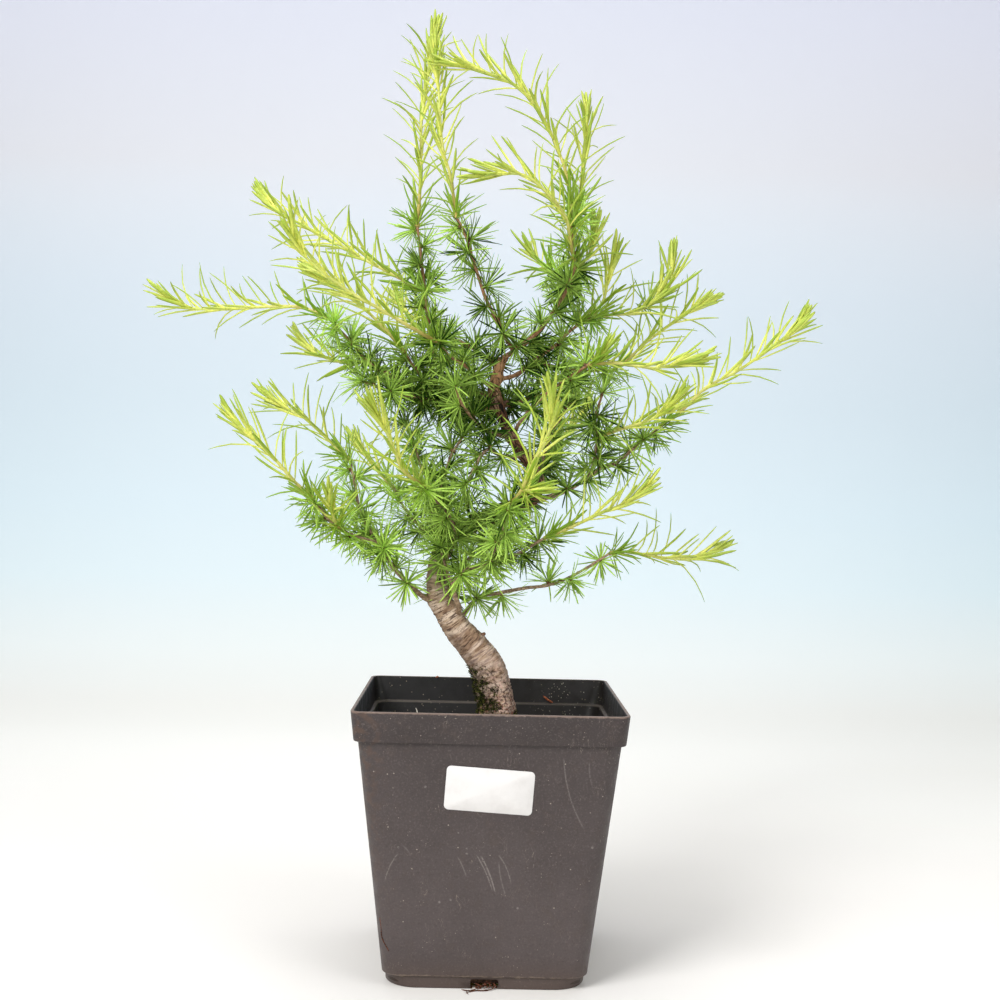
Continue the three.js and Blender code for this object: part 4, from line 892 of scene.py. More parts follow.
def wound_needles(growth, points, lean, length, width, bend, salt, lift):
    """Needles at each point of a stem, each a golden angle on from the last, all drawn upwards a little."""
    spin = growth.add("GeometryNodeInputIndex") * GOLDEN + growth.random(-0.3, 0.3, salt)
    turn = growth.turned(growth.kept("aim", "QUATERNION"), spin, lean)
    turn = growth.add("FunctionNodeAlignRotationToVector", {"axis": "Z"},
                      {"Rotation": turn, "Factor": lift, "Vector": (0.0, 0.0, 1.0)})
    points = growth.keep(points, "turn", turn, "QUATERNION")
    points = growth.keep(points, "fresh", growth.kept("share"))
    out = growth.heading("turn", (0.0, -1.0, 0.0))
    points = growth.moved(points, growth.scaled(out, growth.kept("thickness") * 0.6))
    return growth.needles(points, growth.kept("turn", "QUATERNION"), length, width, bend)


def scatter_growth(needle, crumb, soil, dry):
    """Loose crumbs and dry needles that lie on a surface, as many as its points ask for."""
    growth = Growth("Litter", Crumbs=150000.0, Needles=30000.0, Crumb_size=1.5, Width=0.8 * MM, Lift=0.5 * MM,
                    Seed=1, Needle=needle, Crumb=crumb, Soil=soil, Dry=dry)
    size = growth.size
    points = growth.scattered(size["Crumbs"] * growth.kept("crumbs"))
    turn = growth.three(*[growth.random(0.0, 6.0, salt) for salt in (1, 2, 3)])
    big = growth.random(0.35, 1.0, 4) ** 2 * size["Crumb_size"]
    crumbs = growth.stood(points, "Crumb", turn, growth.three(big, big, big * 0.8))

    points = growth.scattered(size["Needles"] * growth.kept("needles"), 50)
    turn = growth.three(growth.random(1.35, 1.75, 5), 0.0, growth.random(0.0, 6.3, 6))
    turn = growth.add("FunctionNodeEulerToRotation", inputs=[turn])
    points = growth.moved(points, growth.three(0.0, 0.0, size["Lift"]))
    bend = growth.scaled(growth.rotated(turn, (1.0, 0.0, 0.0)), growth.random(-2.5 * MM, 2.5 * MM, 7))
    scale = growth.three(size["Width"], size["Width"], growth.random(8 * MM, 14 * MM, 8))
    lying = growth.bent(points, turn, scale, bend, size["Dry"])
    return growth.finish(growth.start, growth.painted(crumbs, size["Soil"]), lying)


def moss_growth(leaf, green):
    """Short green leaves that stand out of a surface, as many as its points ask for."""
    growth = Growth("Moss", Density=10000000.0, Length=1.7 * MM, Width=0.42 * MM, Seed=1, Leaf=leaf,
                    Green=green)
    size = growth.size
    points = growth.scattered(size["Density"] * growth.kept("moss"))
    aim = growth.add("FunctionNodeAlignRotationToVector", {"axis": "Z"}, {"Vector": points.other("Normal")})
    turn = growth.turned(aim, growth.random(0.0, 6.3, 1), growth.random(0.2, 1.2, 2))
    scale = growth.three(size["Width"], size["Width"], size["Length"] * growth.random(0.5, 1.2, 3))
    points = growth.keep(points, "shade", growth.random(0.0, 1.0, 4))
    return growth.finish(growth.painted(growth.stood(points, "Leaf", turn, scale), size["Green"]))


def rounded_square(half, z, corner):
    """Outline of the pot or the soil at one height: a square with round corners."""
    points = []
    for quarter in range(4):
        flat = [(half, (half - corner) * (2 * i / SIDE_STEPS - 1)) for i in range(1, SIDE_STEPS)]
        for x, y in flat + arc(half - corner, half - corner, corner, 0, CORNER_STEPS):
            points.append((*spun(x, y, quarter * math.pi / 2), z))
    return points


def softened(profile, steps=4):
    """A path of (half, height, corner, softness) with each bend rounded by its softness."""
    path = []
    for index, (half, z, corner, soft) in enumerate(profile):
        here = np.array([half, z, corner], dtype=float)
        if soft == 0 or index in (0, len(profile) - 1):
            path.append(here)
            continue
        before = np.array(profile[index - 1][:3], dtype=float)
        after = np.array(profile[index + 1][:3], dtype=float)
        into = before - here
        out = after - here
        start = here + into * soft / np.linalg.norm(into[:2])
        end = here + out * soft / np.linalg.norm(out[:2])
        for t in np.linspace(0, 1, steps + 1):
            path.append((1 - t) ** 2 * start + 2 * t * (1 - t) * here + t**2 * end)
    return path


def lofted(rings, bottom, top):
    """Vertices and faces of a closed skin over rings of equal count."""
    count = len(rings[0])
    vertices = [point for ring in rings for point in ring] + [bottom, top]
    faces = []
    for ring in range(len(rings) - 1):
        low = ring * count
        for i in range(count):
            j = (i + 1) % count
            faces.append((low + i, low + j, low + j + count, low + i + count))
    last = (len(rings) - 1) * count
    for i in range(count):
        j = (i + 1) % count
        faces.append((j, i, len(vertices) - 2))
        faces.append((last + i, last + j, len(vertices) - 1))
    return vertices, faces


def add_loft(skin, faces, rings, bottom, top):
    """Adds a closed skin over rings to what is there, and gives its points."""
    points, extra = lofted(rings, bottom, top)
    start = len(skin)
    skin.extend(points)
    faces.extend(tuple(start + i for i in face) for face in extra)
    return points


def solid(name, vertices, faces, *materials, smooth=True, **numbers):
    """A piece from vertices in millimetres."""
    mesh = bpy.data.meshes.new(name)
    mesh.from_pydata([tuple(float(c) * MM for c in v) for v in vertices], [], faces)
    for material in materials:
        mesh.materials.append(material)
    mesh.polygons.foreach_set("use_smooth", [smooth] * len(mesh.polygons))
    add_numbers(mesh, **numbers)
    return linked(name, mesh)


def linked(name, mesh):
    piece = bpy.data.objects.new(name, mesh)
    bpy.context.scene.collection.objects.link(piece)
    return piece


def worked(piece):
    """The mesh of a piece with its modifiers worked in."""
    graph = bpy.context.evaluated_depsgraph_get()
    return bpy.data.meshes.new_from_object(piece.evaluated_get(graph))


def body_half(z):
    """Half width of the pot's body outside, at one height."""
    share = (z - FOOT_HEIGHT) / (BAND_BOTTOM - FOOT_HEIGHT)
    return BODY_BOTTOM_HALF + (BODY_TOP_HALF - BODY_BOTTOM_HALF) * share


def make_pot(material):
    """The moulded pot, with its band, its inside ledge, its foot, and slots and drains cut out."""
    inside_floor = FOOT_HEIGHT + WALL
    inner = CORNER_RADIUS - WALL
    profile = [
        (FOOT_HALF - 3, 0, FOOT_CORNER_RADIUS - 2, 0),
        (FOOT_HALF, 0, FOOT_CORNER_RADIUS, 0.6),
        (FOOT_HALF, FOOT_HEIGHT, CORNER_RADIUS + 1, 0.5),
        (BODY_BOTTOM_HALF, FOOT_HEIGHT, CORNER_RADIUS, 0.7),
        (BODY_TOP_HALF, BAND_BOTTOM, CORNER_RADIUS - 1, 0.4),
        (BAND_BOTTOM_HALF, BAND_BOTTOM, RIM_CORNER_RADIUS + 1, 0.6),
        (RIM_HALF + 0.4, POT_HEIGHT, RIM_CORNER_RADIUS, EDGE_RADIUS),
        (RIM_HALF - WALL, POT_HEIGHT, RIM_CORNER_RADIUS - WALL, EDGE_RADIUS),
        (BAND_BOTTOM_HALF - WALL, LEDGE_HEIGHT, inner, 0.4),
        (body_half(LEDGE_HEIGHT) - WALL, LEDGE_HEIGHT, inner, 0.5),
        (body_half(inside_floor) - WALL, inside_floor, inner, 1),
        (FOOT_HALF - WALL, inside_floor, inner, 0.4),
        (FOOT_HALF - WALL, FLOOR, inner, 0.8),
        (FOOT_HALF - WALL - 5, FLOOR, inner, 0),
    ]
    path = softened(profile)
    rings = [rounded_square(half, z, corner) for half, z, corner in path]
    top = max(range(len(path)), key=lambda i: path[i][1])
    inside = [float(i > top + 2) for i in range(len(path)) for _ in rings[0]] + [0.0, 1.0]
    pot = solid("pot_shell", *lofted(rings, (0, 0, 0), (0, 0, FLOOR)), material, inside=inside)
    cutters = []
    for side in range(4):
        for cutter in (slot_cutter(), drain_cutter()):
            cutter.data.transform(Matrix.Rotation(side * math.pi / 2, 4, "Z"))
            cut = pot.modifiers.new("Cut", "BOOLEAN")
            cut.operation = "DIFFERENCE"
            cut.solver = "EXACT"
            cut.object = cutter
            cutters.append(cutter)
    mesh = worked(pot)
    pot.modifiers.clear()
    pot.data = mesh
    for cutter in cutters:
        bpy.data.objects.remove(cutter)
    return pot


def slot_cutter():
    """An arched block that cuts the opening through the foot at the middle of one side."""
    half = SLOT_WIDTH / 2
    top = SLOT_HEIGHT - SLOT_CORNER
    outline = [(-half, -2), (half, -2), *arc(half - SLOT_CORNER, top, SLOT_CORNER, 0, 6),
               *arc(SLOT_CORNER - half, top, SLOT_CORNER, 1, 6)]
    count = len(outline)
    vertices = [(x, y, z) for y in (-FOOT_HALF - 9, -FOOT_HALF + SLOT_DEPTH) for x, z in outline]
    faces = [tuple(range(count)), tuple(range(2 * count - 1, count - 1, -1))]
    faces += [(i + count, (i + 1) % count + count, (i + 1) % count, i) for i in range(count)]
    return solid("slot", vertices, faces, smooth=False)


def drain_cutter():
    """A short rod that cuts one drain hole through the floor."""
    corner = np.array((DRAIN_OFFSET, DRAIN_OFFSET, 0))
    ends = [-3, 2 * FLOOR + 1]
    rings = [[corner + place for place in circle(DRAIN_RADIUS, z, DRAIN_SIDES)] for z in ends]
    return solid("drain", *lofted(rings, *(corner + (0, 0, z) for z in ends)), smooth=False)


def make_label(material):
    """A thin blank sticker with round corners, a little askew on the sloping front wall."""
    outline = []
    x = LABEL_WIDTH / 2 - LABEL_CORNER
    y = LABEL_HEIGHT / 2 - LABEL_CORNER
    for quarter, corner in enumerate(((x, y), (-x, y), (-x, -y), (x, -y))):
        outline += arc(*corner, LABEL_CORNER, quarter, 8)
    rings = []
    upper = LABEL_THICKNESS - LABEL_EDGE
    for shrink, z in ((LABEL_EDGE, 0), (0, 0.06), (0, upper), (LABEL_EDGE, LABEL_THICKNESS)):
        scale_x = 1 - 2 * shrink / LABEL_WIDTH
        scale_y = 1 - 2 * shrink / LABEL_HEIGHT
        rings.append([(px * scale_x, py * scale_y, z) for px, py in outline])
    vertices, faces = lofted(rings, (0, 0, 0), (0, 0, LABEL_THICKNESS))
    label = solid("label_blank", vertices, faces, material)
    slope = math.atan2(BODY_TOP_HALF - BODY_BOTTOM_HALF, BAND_BOTTOM - FOOT_HEIGHT)
    place = Matrix.Translation((LABEL_ACROSS * MM, -body_half(LABEL_UP) * MM, LABEL_UP * MM))
    stand = Matrix.Rotation(math.pi / 2 + slope, 4, "X")
    askew = Matrix.Rotation(-math.radians(LABEL_TURN), 4, "Z")
    off = Matrix.Translation((0, 0, LABEL_OFF * MM))
    label.data.transform(place @ stand @ askew @ off)
    return label


def soil_height(x, y):
    wave = SOIL_WAVE_HEIGHT * math.sin(x / SOIL_WAVE_ACROSS) * math.cos(y / SOIL_WAVE_BACK)
    mound = MOUND_HEIGHT * math.exp(-((math.hypot(x - TRUNK[0][0], y) / MOUND_WIDTH) ** 2))
    return SOIL_TOP + wave + mound


def make_soil(material):
    """The soil as one closed body that fills the pot, with a crumbly top."""
    inset = WALL + SOIL_GAP
    shoulder = FOOT_HEIGHT + inset
    corner = CORNER_RADIUS - inset
    top_half = body_half(SOIL_TOP) - inset
    rings = [
        rounded_square(FOOT_HALF - inset, FLOOR + SOIL_GAP, corner),
        rounded_square(FOOT_HALF - inset, shoulder, corner),
        rounded_square(body_half(shoulder) - inset, shoulder, corner),
        rounded_square(top_half, SOIL_TOP - 1, corner),
    ]
    for left in range(SOIL_RINGS, 0, -1):
        share = left / SOIL_RINGS
        ring = []
        for x, y, _ in rounded_square(top_half * share, 0, corner * share):
            clod = noise.fractal(Vector((x, y, 7)) / CLOD_SIZE, 0.7, 2.1, 4) * CLOD_HEIGHT
            clod *= min(1, 4 * (1.02 - share))
            ring.append((x, y, soil_height(x, y) + clod))
        rings.append(ring)
    vertices, faces = lofted(rings, (0, 0, FLOOR + SOIL_GAP), (0, 0, soil_height(0, 0)))
    count = len(rings[0])
    shares = [0.0] * 4 + [1.02 - left / SOIL_RINGS for left in range(SOIL_RINGS, 0, -1)]
    crumbs = [float(share > 0.06) for share in shares for _ in range(count)] + [0.0, 1.0]
    needles = [float(share > 0.25) for share in shares for _ in range(count)] + [0.0, 1.0]
    return solid("soil_bed", vertices, faces, material, crumbs=crumbs, needles=needles)


def ease(value, low, high):
    """From 0 at low to 1 at high, with soft ends."""
    t = np.clip((value - low) / (high - low), 0, 1)
    return t * t * (3 - 2 * t)


def make_trunk(material, line, listed, roots):
    """The winding trunk, with bark, collars where twigs leave it, and cut-off stubs."""
    radii = np.interp(listed, range(len(TRUNK)), [place[3] for place in TRUNK])
    run = distances(line)
    share = run / run[-1]
    vertices = []
    numbers = {"old": [], "proud": [], "spot": [], "straight": [], "moss": []}
    for i, (centre, _, normal, sideways) in enumerate(frames(line, FIRST_SIDE)):
        for side in range(TRUNK_SIDES):
            angle = 2 * math.pi * side / TRUNK_SIDES
            ridges = sum(d * math.cos(n * angle + wind * share[i]) for d, n, wind in TRUNK_RIDGES)
            radius = radii[i] * (1 + ridges * (1 - share[i]))
            out = normal * math.cos(angle) + sideways * math.sin(angle)
            flat = np.array([math.cos(angle) * radius, math.sin(angle) * radius, run[i]])
            rough, *looks = bark_relief(flat, radius, centre + out * radius)
            vertices.append(centre + out * (radius + rough))
            looks += [flat * MM, mossiness(vertices[-1], centre)]
            for key, value in zip(numbers, looks):
                numbers[key].append(value)
    vertices = np.array(vertices)
    around = vertices - np.repeat(line, TRUNK_SIDES, axis=0)
    around /= np.linalg.norm(around, axis=1)[:, None]
    for place, direction, thickness, trunk_radius in roots:
        reach = np.linalg.norm(vertices - (place + direction * trunk_radius), axis=1)
        swelling = COLLAR_HEIGHT * thickness * np.exp(-((reach / (COLLAR_REACH * thickness)) ** 2))
        vertices += around * swelling[:, None]
    rings = vertices.reshape(len(line), TRUNK_SIDES, 3)
    bottom = line[0] - unit(line[1] - line[0])
    top = line[-1] + unit(line[-1] - line[-2]) * 0.6
    skin, faces = lofted([list(ring) for ring in rings], bottom, top)
    for key in ("old", "proud", "spot", "moss"):
        numbers[key] += [0.0, 0.0]
    numbers["straight"] += [np.zeros(3), np.array([0, 0, run[-1] * MM])]
    for stub in STUBS:
        add_stub(skin, faces, numbers, line, radii, *stub)
    return solid("trunk_bark", skin, faces, material, **numbers)


def bark_relief(flat, radius, place):
    """How far the bark stands out in millimetres, how old it is, how proud, and how spotted.

    The first place is on the trunk as if it were straight: lines across the bark run level there.
    """
    aged = ease(place[2] + 12 * noise.noise(Vector(place) / 14), *OLD_BARK)
    cut = noise.noise(squeezed(flat, 2.1, 8.5)) * 1.4 + 0.5 * noise.noise(squeezed(flat, 0.9, 4))
    plate = ease(abs(cut), 0.02, 0.3)
    fine = noise.noise(squeezed(flat, 0.6, 1.6))
    lump = noise.noise(squeezed(flat, 5, 9))
    lens = ease(noise.noise(squeezed(flat, 4.5, 0.7, 40)), 0.16, 0.4)
    lines = noise.noise(squeezed(flat, 7, 0.9, 20))
    flaking = ease(noise.noise(squeezed(flat, 5, 3, 90)), 0.05, 0.12)
    low = 1 - ease(np.array(place[2]), 116, 158)
    young = 0.4 * lump + 0.18 * lens + 0.3 * lines + 0.06 * fine + 0.55 * flaking * (0.25 + 0.75 * low)
    weathered = 0.85 * (plate - 1) + 0.3 * lump + 0.2 * fine
    rough = (1 - aged) * young + aged * weathered * min(1, radius / 4)
    hole = math.dist(place, KNOT)
    rim = math.exp(-(((hole - KNOT_RIM) / KNOT_RIM_WIDTH) ** 2))
    rough -= KNOT_DEPTH * math.exp(-((hole / KNOT_WIDTH) ** 2)) - KNOT_RIM_HEIGHT * rim
    proud = (1 - aged) * (0.5 + 0.5 * flaking) + aged * plate
    return rough, aged, float(proud), float(lens * (1 - aged))


def mossiness(place, centre):
    """How thick the moss is: on the left of the trunk's foot, in clumps."""
    side = ease(centre[0] - place[0], -4, 5)
    right = ease(place[0] - centre[0], 3, 7) * (1 - ease(place[2], 118, 129))
    height = (1 - ease(place[2], *MOSS_TOP)) * ease(place[2], 107, 110)
    clump = ease(noise.noise(Vector(place) / 2.6), 0.0, 0.22)
    return float(max(side, right) * height * clump)


def squeezed(flat, around, along, shift=0.0):
    """A place on the straightened trunk for noise of some millimetres' size round it and along it."""
    return Vector((flat[0] / around, flat[1] / around, flat[2] / along + shift))


def add_stub(skin, faces, numbers, line, radii, height, turn, length, thickness, rise):
    """A short cut-off twig with a worn rim round its sawn end."""
    index = int(np.searchsorted(line[:, 2], height))
    centre = line[index]
    turn = math.radians(turn)
    out = unit(np.array([math.cos(turn), math.sin(turn), rise]))
    side = unit(np.cross(out, UP))
    upward = np.cross(side, out)
    bark = radii[index]
    reach = bark + length
    profile = [(0.3, 1.1), (bark * 0.9 / reach, 1.35), ((bark + 0.4 * thickness) / reach, 1.05)]
    last = (bark + 0.6 * thickness) / reach
    steps = max(1, round(length / 2))
    profile += [(last + (0.97 - last) * (i + 1) / steps, 1 - 0.25 * (i + 1) / steps) for i in range(steps)]
    profile += [(1, 0.6), (0.99, 0.4)]
    rings = []
    for along, share in profile:
        ring = []
        bent = UP * 0.05 * length * math.sin(along * 5)
        for x, y, _ in circle(1, 0, STUB_SIDES):
            ray = side * x + upward * y
            spot = centre + bent + out * along * reach + ray * share * thickness
            ring.append(spot + ray * 0.25 * thickness * noise.noise(Vector(spot) / 1.1))
        rings.append(ring)
    points = add_loft(skin, faces, rings, centre + out * 0.28 * reach, centre + out * 0.985 * reach)
    numbers["old"] += [0.9] * len(points)
    sawn = 2 * STUB_SIDES + 2
    numbers["proud"] += [0.55] * (len(points) - sawn) + [0.1] * sawn
    numbers["spot"] += [0.0] * len(points)
    numbers["moss"] += [0.0] * len(points)
    numbers["straight"] += [np.array(point) * MM for point in points]


def strand(skin, faces, places, thickness, sides=6, step=0.5):
    """Adds a thin round strand through some places, thinner at both ends."""
    line, _ = smooth_line(places, step)
    rings = []
    for i, (centre, _, normal, sideways) in enumerate(frames(line, np.cross(line[1] - line[0], STRAND_SIDE))):
        end = min(i, len(line) - 1 - i) / 3
        radius = thickness / 2 * (0.45 + 0.55 * min(1, end)) * (1 + 0.3 * noise.noise(Vector(centre) / 0.8))
        rings.append([centre + (normal * x + sideways * y) * radius for x, y, _ in circle(1, 0, sides)])
    add_loft(skin, faces, rings, line[0], line[-1])


def strands(name, material, *listed):
    """A piece of thin round strands, each with its places and its thickness."""
    skin = []
    faces = []
    for places, thickness, *rest in listed:
        strand(skin, faces, places, thickness, *rest)
    return solid(name, skin, faces, material)


def make_rootlets(material):
    """Fine dry roots that hang out of the slots of the foot, and one stuck to the wall."""
    chance = random.Random(7)
    start = -FOOT_HALF + 7
    roots = []
    for _ in range(SLOT_ROOTS):
        x = chance.uniform(-6, 6)
        z = chance.uniform(0.7, 3)
        places = [(x, start, z)]
        for step in range(1, 4):
            x = max(-6.2, min(6.2, x + chance.uniform(-4, 4)))
            z = max(0.5, z + chance.uniform(-1, 0.7))
            places.append((x, start - 2.6 * step, z))
        roots.append((places, chance.uniform(0.4, 0.8)))
    left = -body_half(26)
    return strands(
        "dry_rootlets", material, *roots,
        ([(-3, -46, 1.6), (-4, -50.5, 0.8), (-8, -52, 0.5), (-11, -51, 0.6)], 0.5),
        ([(5, -46, 2), (4, -50, 0.9), (0, -51.5, 0.5), (-4, -51.6, 0.4), (-8, -54, 0.4)], 0.6),
        ([(-8, -52, 0.5), (-8.5, -54, 0.4), (-7.5, -56.5, 0.35)], 0.4),
        ([(left + 6, -body_half(18) + 0.6, 18), (left + 2.5, -body_half(24) + 2.7, 24),
          (left + 1.9, -body_half(30) + 3, 30), (left + 1.2, -body_half(34) + 3, 34)], 0.5))


def make_scraps(dry, pale):
    """A dry bud scale and pale fibres stuck to the inner wall, and a pale sprig over the front rim."""
    wall = body_half(LEDGE_HEIGHT) + 1.2
    rim = POT_HEIGHT
    scrap = strands(
        "dry_scraps", dry,
        ([(30.5, wall - 0.3, 125.2), (33, wall - 1.1, 123.2), (36, wall - 1.6, 121.6)], 1.1, 8),
        ([(-30, 62, rim - 0.1), (-29, 63.2, rim + 0.3), (-28.2, 64.4, rim)], 0.9))
    flecks = []
    for x, z, size in FLECKS:
        ends = (x - size / 2, wall + 0.2, z), (x + size / 2, wall + 0.2, z)
        flecks.append(([ends[0], (x, wall, z + 0.1), ends[1]], size * 0.8, 6, 0.2))
    fibres = strands(
        "pale_fibres", pale,
        ([(36.5, wall + 0.7, 130.3), (37.2, wall + 0.5, 128), (39.4, wall + 0.3, 125.8),
          (42, wall + 0.1, 123.4)], 0.55),
        ([(45.5, wall + 0.6, 132.6), (46, wall + 0.5, 129.5), (45, wall + 0.4, 127)], 0.4),
        ([(-33.6, -RIM_HALF + 1.8, 128), (-34.3, -RIM_HALF + 1.6, 132), (-34.5, -RIM_HALF + 1.2, 135),
          (-35.1, -RIM_HALF + 0.8, 136.6)], 0.5),
        *flecks)
    return scrap, fibres


def grow_lines():
    """The line of every stem by node, and the places where twigs leave the trunk."""
    trunk, listed = smooth_line([seen_at(*place[:3]) for place in TRUNK], TRUNK_STEP)
    radii = np.interp(listed, range(len(TRUNK)), [place[3] for place in TRUNK])
    lines = {"trunk": [trunk]}
    grown = {}
    roots = []
    shoots = [(*stem[:3], SHOOT_TIP, SHOOT_BARE, False, stem[3]) for stem in SHOOTS]
    for node, carrier, foot, tip, bare, crowned, route in TWIGS + shoots:
        places = [seen_at(*place) for place in route]
        wood = np.vstack(lines[carrier])
        nearest = int(np.argmin(np.linalg.norm(wood - places[0], axis=1)))
        places[0] = wood[nearest]
        line, _ = smooth_line(places, STEM_STEP)
        lines.setdefault(node, []).append(line)
        if carrier == "trunk":
            heading = unit(line[min(HEADING_STEPS, len(line) - 1)] - line[0])
            roots.append((line[0], heading, foot, radii[nearest]))
        if node.startswith("shoot"):
            run = distances(line)
            line = line[run <= run[-1] - TUFT_REACH]
        grown.setdefault(node, []).append(dict(line=line, foot=foot, tip=tip, bare=bare, crowned=crowned))
    return trunk, listed, grown, roots


def trunk_finish():
    """Tan bark with lines across it below, dark red-brown fissured bark above, moss and dirt at the foot."""
    finish = Finish("Larch bark", Roughness=0.8, Specular_IOR_Level=0.3)
    old = finish.attribute("old")
    proud = finish.attribute("proud")
    spot = finish.attribute("spot")
    straight = finish.attribute("straight", "Vector")
    level = finish.vector("MULTIPLY", straight, (0.16, 0.16, 1.0))
    upright = finish.vector("MULTIPLY", straight, (1.0, 1.0, 0.4))
    grain = finish.noise(1.4, 6, 0.62, upright)
    patch = finish.noise(8, 4, 0.6)
    rings = finish.noise(0.85, 4, 0.55, level)
    bands = finish.noise(2.6, 3, 0.6, level)
    young = finish.mix(patch.between(0.35, 0.65), srgb(138, 112, 88), srgb(178, 152, 124))
    young = young.coated(bands.between(0.5, 0.62) * 0.75, 218, 198, 176)
    young = young.coated(bands.between(0.46, 0.38) * 0.45, 116, 84, 66)
    young = young.coated(rings.between(0.46, 0.38) * 0.9, 64, 44, 34)
    thin = finish.noise(0.45, 3, 0.5, level)
    young = young.coated(thin.between(0.42, 0.36) * 0.7, 88, 62, 48)
    young = young.coated(grain.between(0.56, 0.68) * 0.5, 100, 74, 56)
    young = young.coated(spot * 0.5, 92, 64, 50)
    aged = finish.mix(grain.between(0.35, 0.65), srgb(70, 42, 30), srgb(138, 96, 70))
    # Where the bark lies low between its plates it is coloured near-black: painted shade in the fissures. The
    # sawn ends of the stubs are listed as low and take the same dark colour.
    aged = finish.mix(proud.between(0.1, 0.8), srgb(24, 15, 12), aged)
    worn = patch.between(0.46, 0.62) * grain.between(0.42, 0.6)
    aged = aged.coated(worn * 0.7, 168, 140, 116)
    high = finish.along("Z")
    aged = aged.coated(high.between(284, 294) * 0.7, 176, 134, 92)
    young = young.coated(high.between(176, 196) * 0.45, 132, 122, 98)
    fissure = finish.noise(2.6, 4, 0.6, upright).away(0.5).between(0.04, 0.012)
    aged = aged.coated(fissure * 0.8, 30, 18, 14)
    colour = finish.mix(old, young, aged)
    pale = high.between(176, 150) * bands.between(0.4, 0.54)
    colour = colour.coated(pale * 0.4, 222, 196, 180)
    flakes = high.between(162, 138) * finish.noise(2.2, 5, 0.7).between(0.5, 0.56)
    colour = colour.coated(flakes * 0.75, 214, 178, 160)
    cracks = high.between(158, 136) * finish.noise(1.5, 5, 0.7).between(0.5, 0.44)
    colour = colour.coated(cracks * 0.85, 54, 32, 25)
    red = high.between(142, 126) * finish.noise(1.8, 4).between(0.54, 0.6)
    colour = colour.coated(red * 0.7, 140, 76, 54)
    leftward = finish.along("X") + (high - 107) * 0.18
    side = (leftward + 9 * finish.noise(3)).between(15, 4)
    mossy = finish.noise(2.2, 5, 0.7).between(0.43, 0.52) * high.between(158, 138) * side
    green = finish.mix(finish.noise(1.2, 4).between(0.42, 0.62), srgb(22, 19, 12), srgb(72, 70, 30))
    colour = finish.mix(mossy * 0.92, colour, green)
    # The knot hole darkened almost to black: painted shade in the hollow
    knot = finish.add("ShaderNodeVectorMath", {"operation": "DISTANCE"},
                      [finish.place, tuple(c * MM for c in KNOT)], "Value") / MM
    colour = colour.coated(knot.between(2.2, 1.3) * 0.95, 26, 18, 14)
    relief = grain * 0.35 + rings * 0.4 + finish.noise(0.5, 4) * 0.25
    return finish.set(Base_Color=colour, Normal=finish.bump(relief, 0.4, 0.8))


def wood_finish():
    """Tan-brown bark of thin twigs, with darker rings and pale worn ridges, lighter towards the outside of
    the crown as painted light.
    """
    finish = Finish("Twig bark", Roughness=0.75, Specular_IOR_Level=0.3)
    grain = finish.noise(1.1, 5, 0.6)
    patch = finish.noise(5, 3)
    crown_light = finish.attribute("open")
    colour = finish.mix(grain.between(0.38, 0.62), srgb(98, 78, 62), srgb(180, 154, 126))
    colour = colour.coated(patch.between(0.45, 0.62) * 0.5, 74, 50, 38)
    # Paler towards the outside of the crown: painted light, with painted shade deeper in
    colour = colour.coated(crown_light * 0.3, 176, 150, 116)
    colour = colour.coated(finish.along("Z").between(256, 300) * 0.5, 164, 110, 68)
    return finish.set(Base_Color=colour, Normal=finish.bump(grain, 0.25, 0.8))


def shoot_wood_finish():
    """Fresh yellow shoot bark with orange tints at its foot and green towards its tip."""
    finish = Finish("Shoot bark", Roughness=0.5, Specular_IOR_Level=0.4)
    share = finish.attribute("share")
    grain = finish.noise(1.3, 4, 0.6)
    colour = finish.mix(share.between(0.0, 0.35), srgb(188, 164, 92), srgb(208, 206, 118))
    colour = colour.coated(share.between(0.3, 0.9), 202, 214, 116)
    colour = colour.coated(grain.between(0.56, 0.7) * 0.4, 190, 158, 88)
    return finish.set(Base_Color=colour, Normal=finish.bump(grain, 0.12, 0.6))


def rosette_finish():
    """Short needles: dark green deep inside the crown and lighter outside as painted shade, yellow-green at
    their feet.
    """
    finish = Finish("Rosette needles", Roughness=0.5, Specular_IOR_Level=0.08, Subsurface_Weight=0.1,
                    Subsurface_Radius=(0.7, 1, 0.1), Subsurface_Scale=0.5 * MM)
    fresh = finish.attribute("fresh")
    crown_light = finish.attribute("open")
    shade = finish.attribute("shade")
    along = finish.attribute("along")
    # How light a needle is: painted shade deep in the crown, with random tones per rosette and per needle
    light = (crown_light * 0.5 + fresh * 0.42 + shade * 0.6).between(0.42, 1.19, smooth=False)
    colour = finish.mix(light, srgb(20, 54, 0), srgb(202, 242, 112))
    colour = colour.coated(along.between(0.28, 0.0) * 0.4, 158, 196, 70)
    colour = colour.coated(along.between(0.9, 1.0) * 0.5, 112, 104, 36)
    streak = finish.noise(1.1, 3)
    colour = colour.coated(streak.between(0.45, 0.7) * 0.4, 52, 90, 10)
    return finish.set(Base_Color=colour)


def shoot_finish():
    """Long needles: bright yellow-green, paler at their feet, greener towards their tips."""
    finish = Finish("Shoot needles", Roughness=0.45, Specular_IOR_Level=0.3, Subsurface_Weight=0.1,
                    Subsurface_Radius=(0.8, 1, 0.1), Subsurface_Scale=0.5 * MM)
    fresh = finish.attribute("fresh")
    shade = finish.attribute("shade")
    along = finish.attribute("along")
    light = (fresh * 0.45 + shade * 0.8).between(0.1, 1.1, smooth=False)
    colour = finish.mix(light, srgb(148, 174, 38), srgb(255, 253, 134))
    colour = colour.coated(along.between(0.35, 0.0) * 0.5, 226, 228, 116)
    colour = colour.coated(along.between(0.15, 0.8) * 0.6, 128, 164, 46)
    colour = colour.coated(along.between(0.9, 1.0) * 0.5, 112, 104, 40)
    colour = colour.coated(fresh.between(0.22, 0.0) * 0.6, 104, 156, 34)
    streak = finish.noise(1.3, 3)
    colour = colour.coated(streak.between(0.45, 0.7) * 0.45, 140, 172, 44)
    return finish.set(Base_Color=colour)


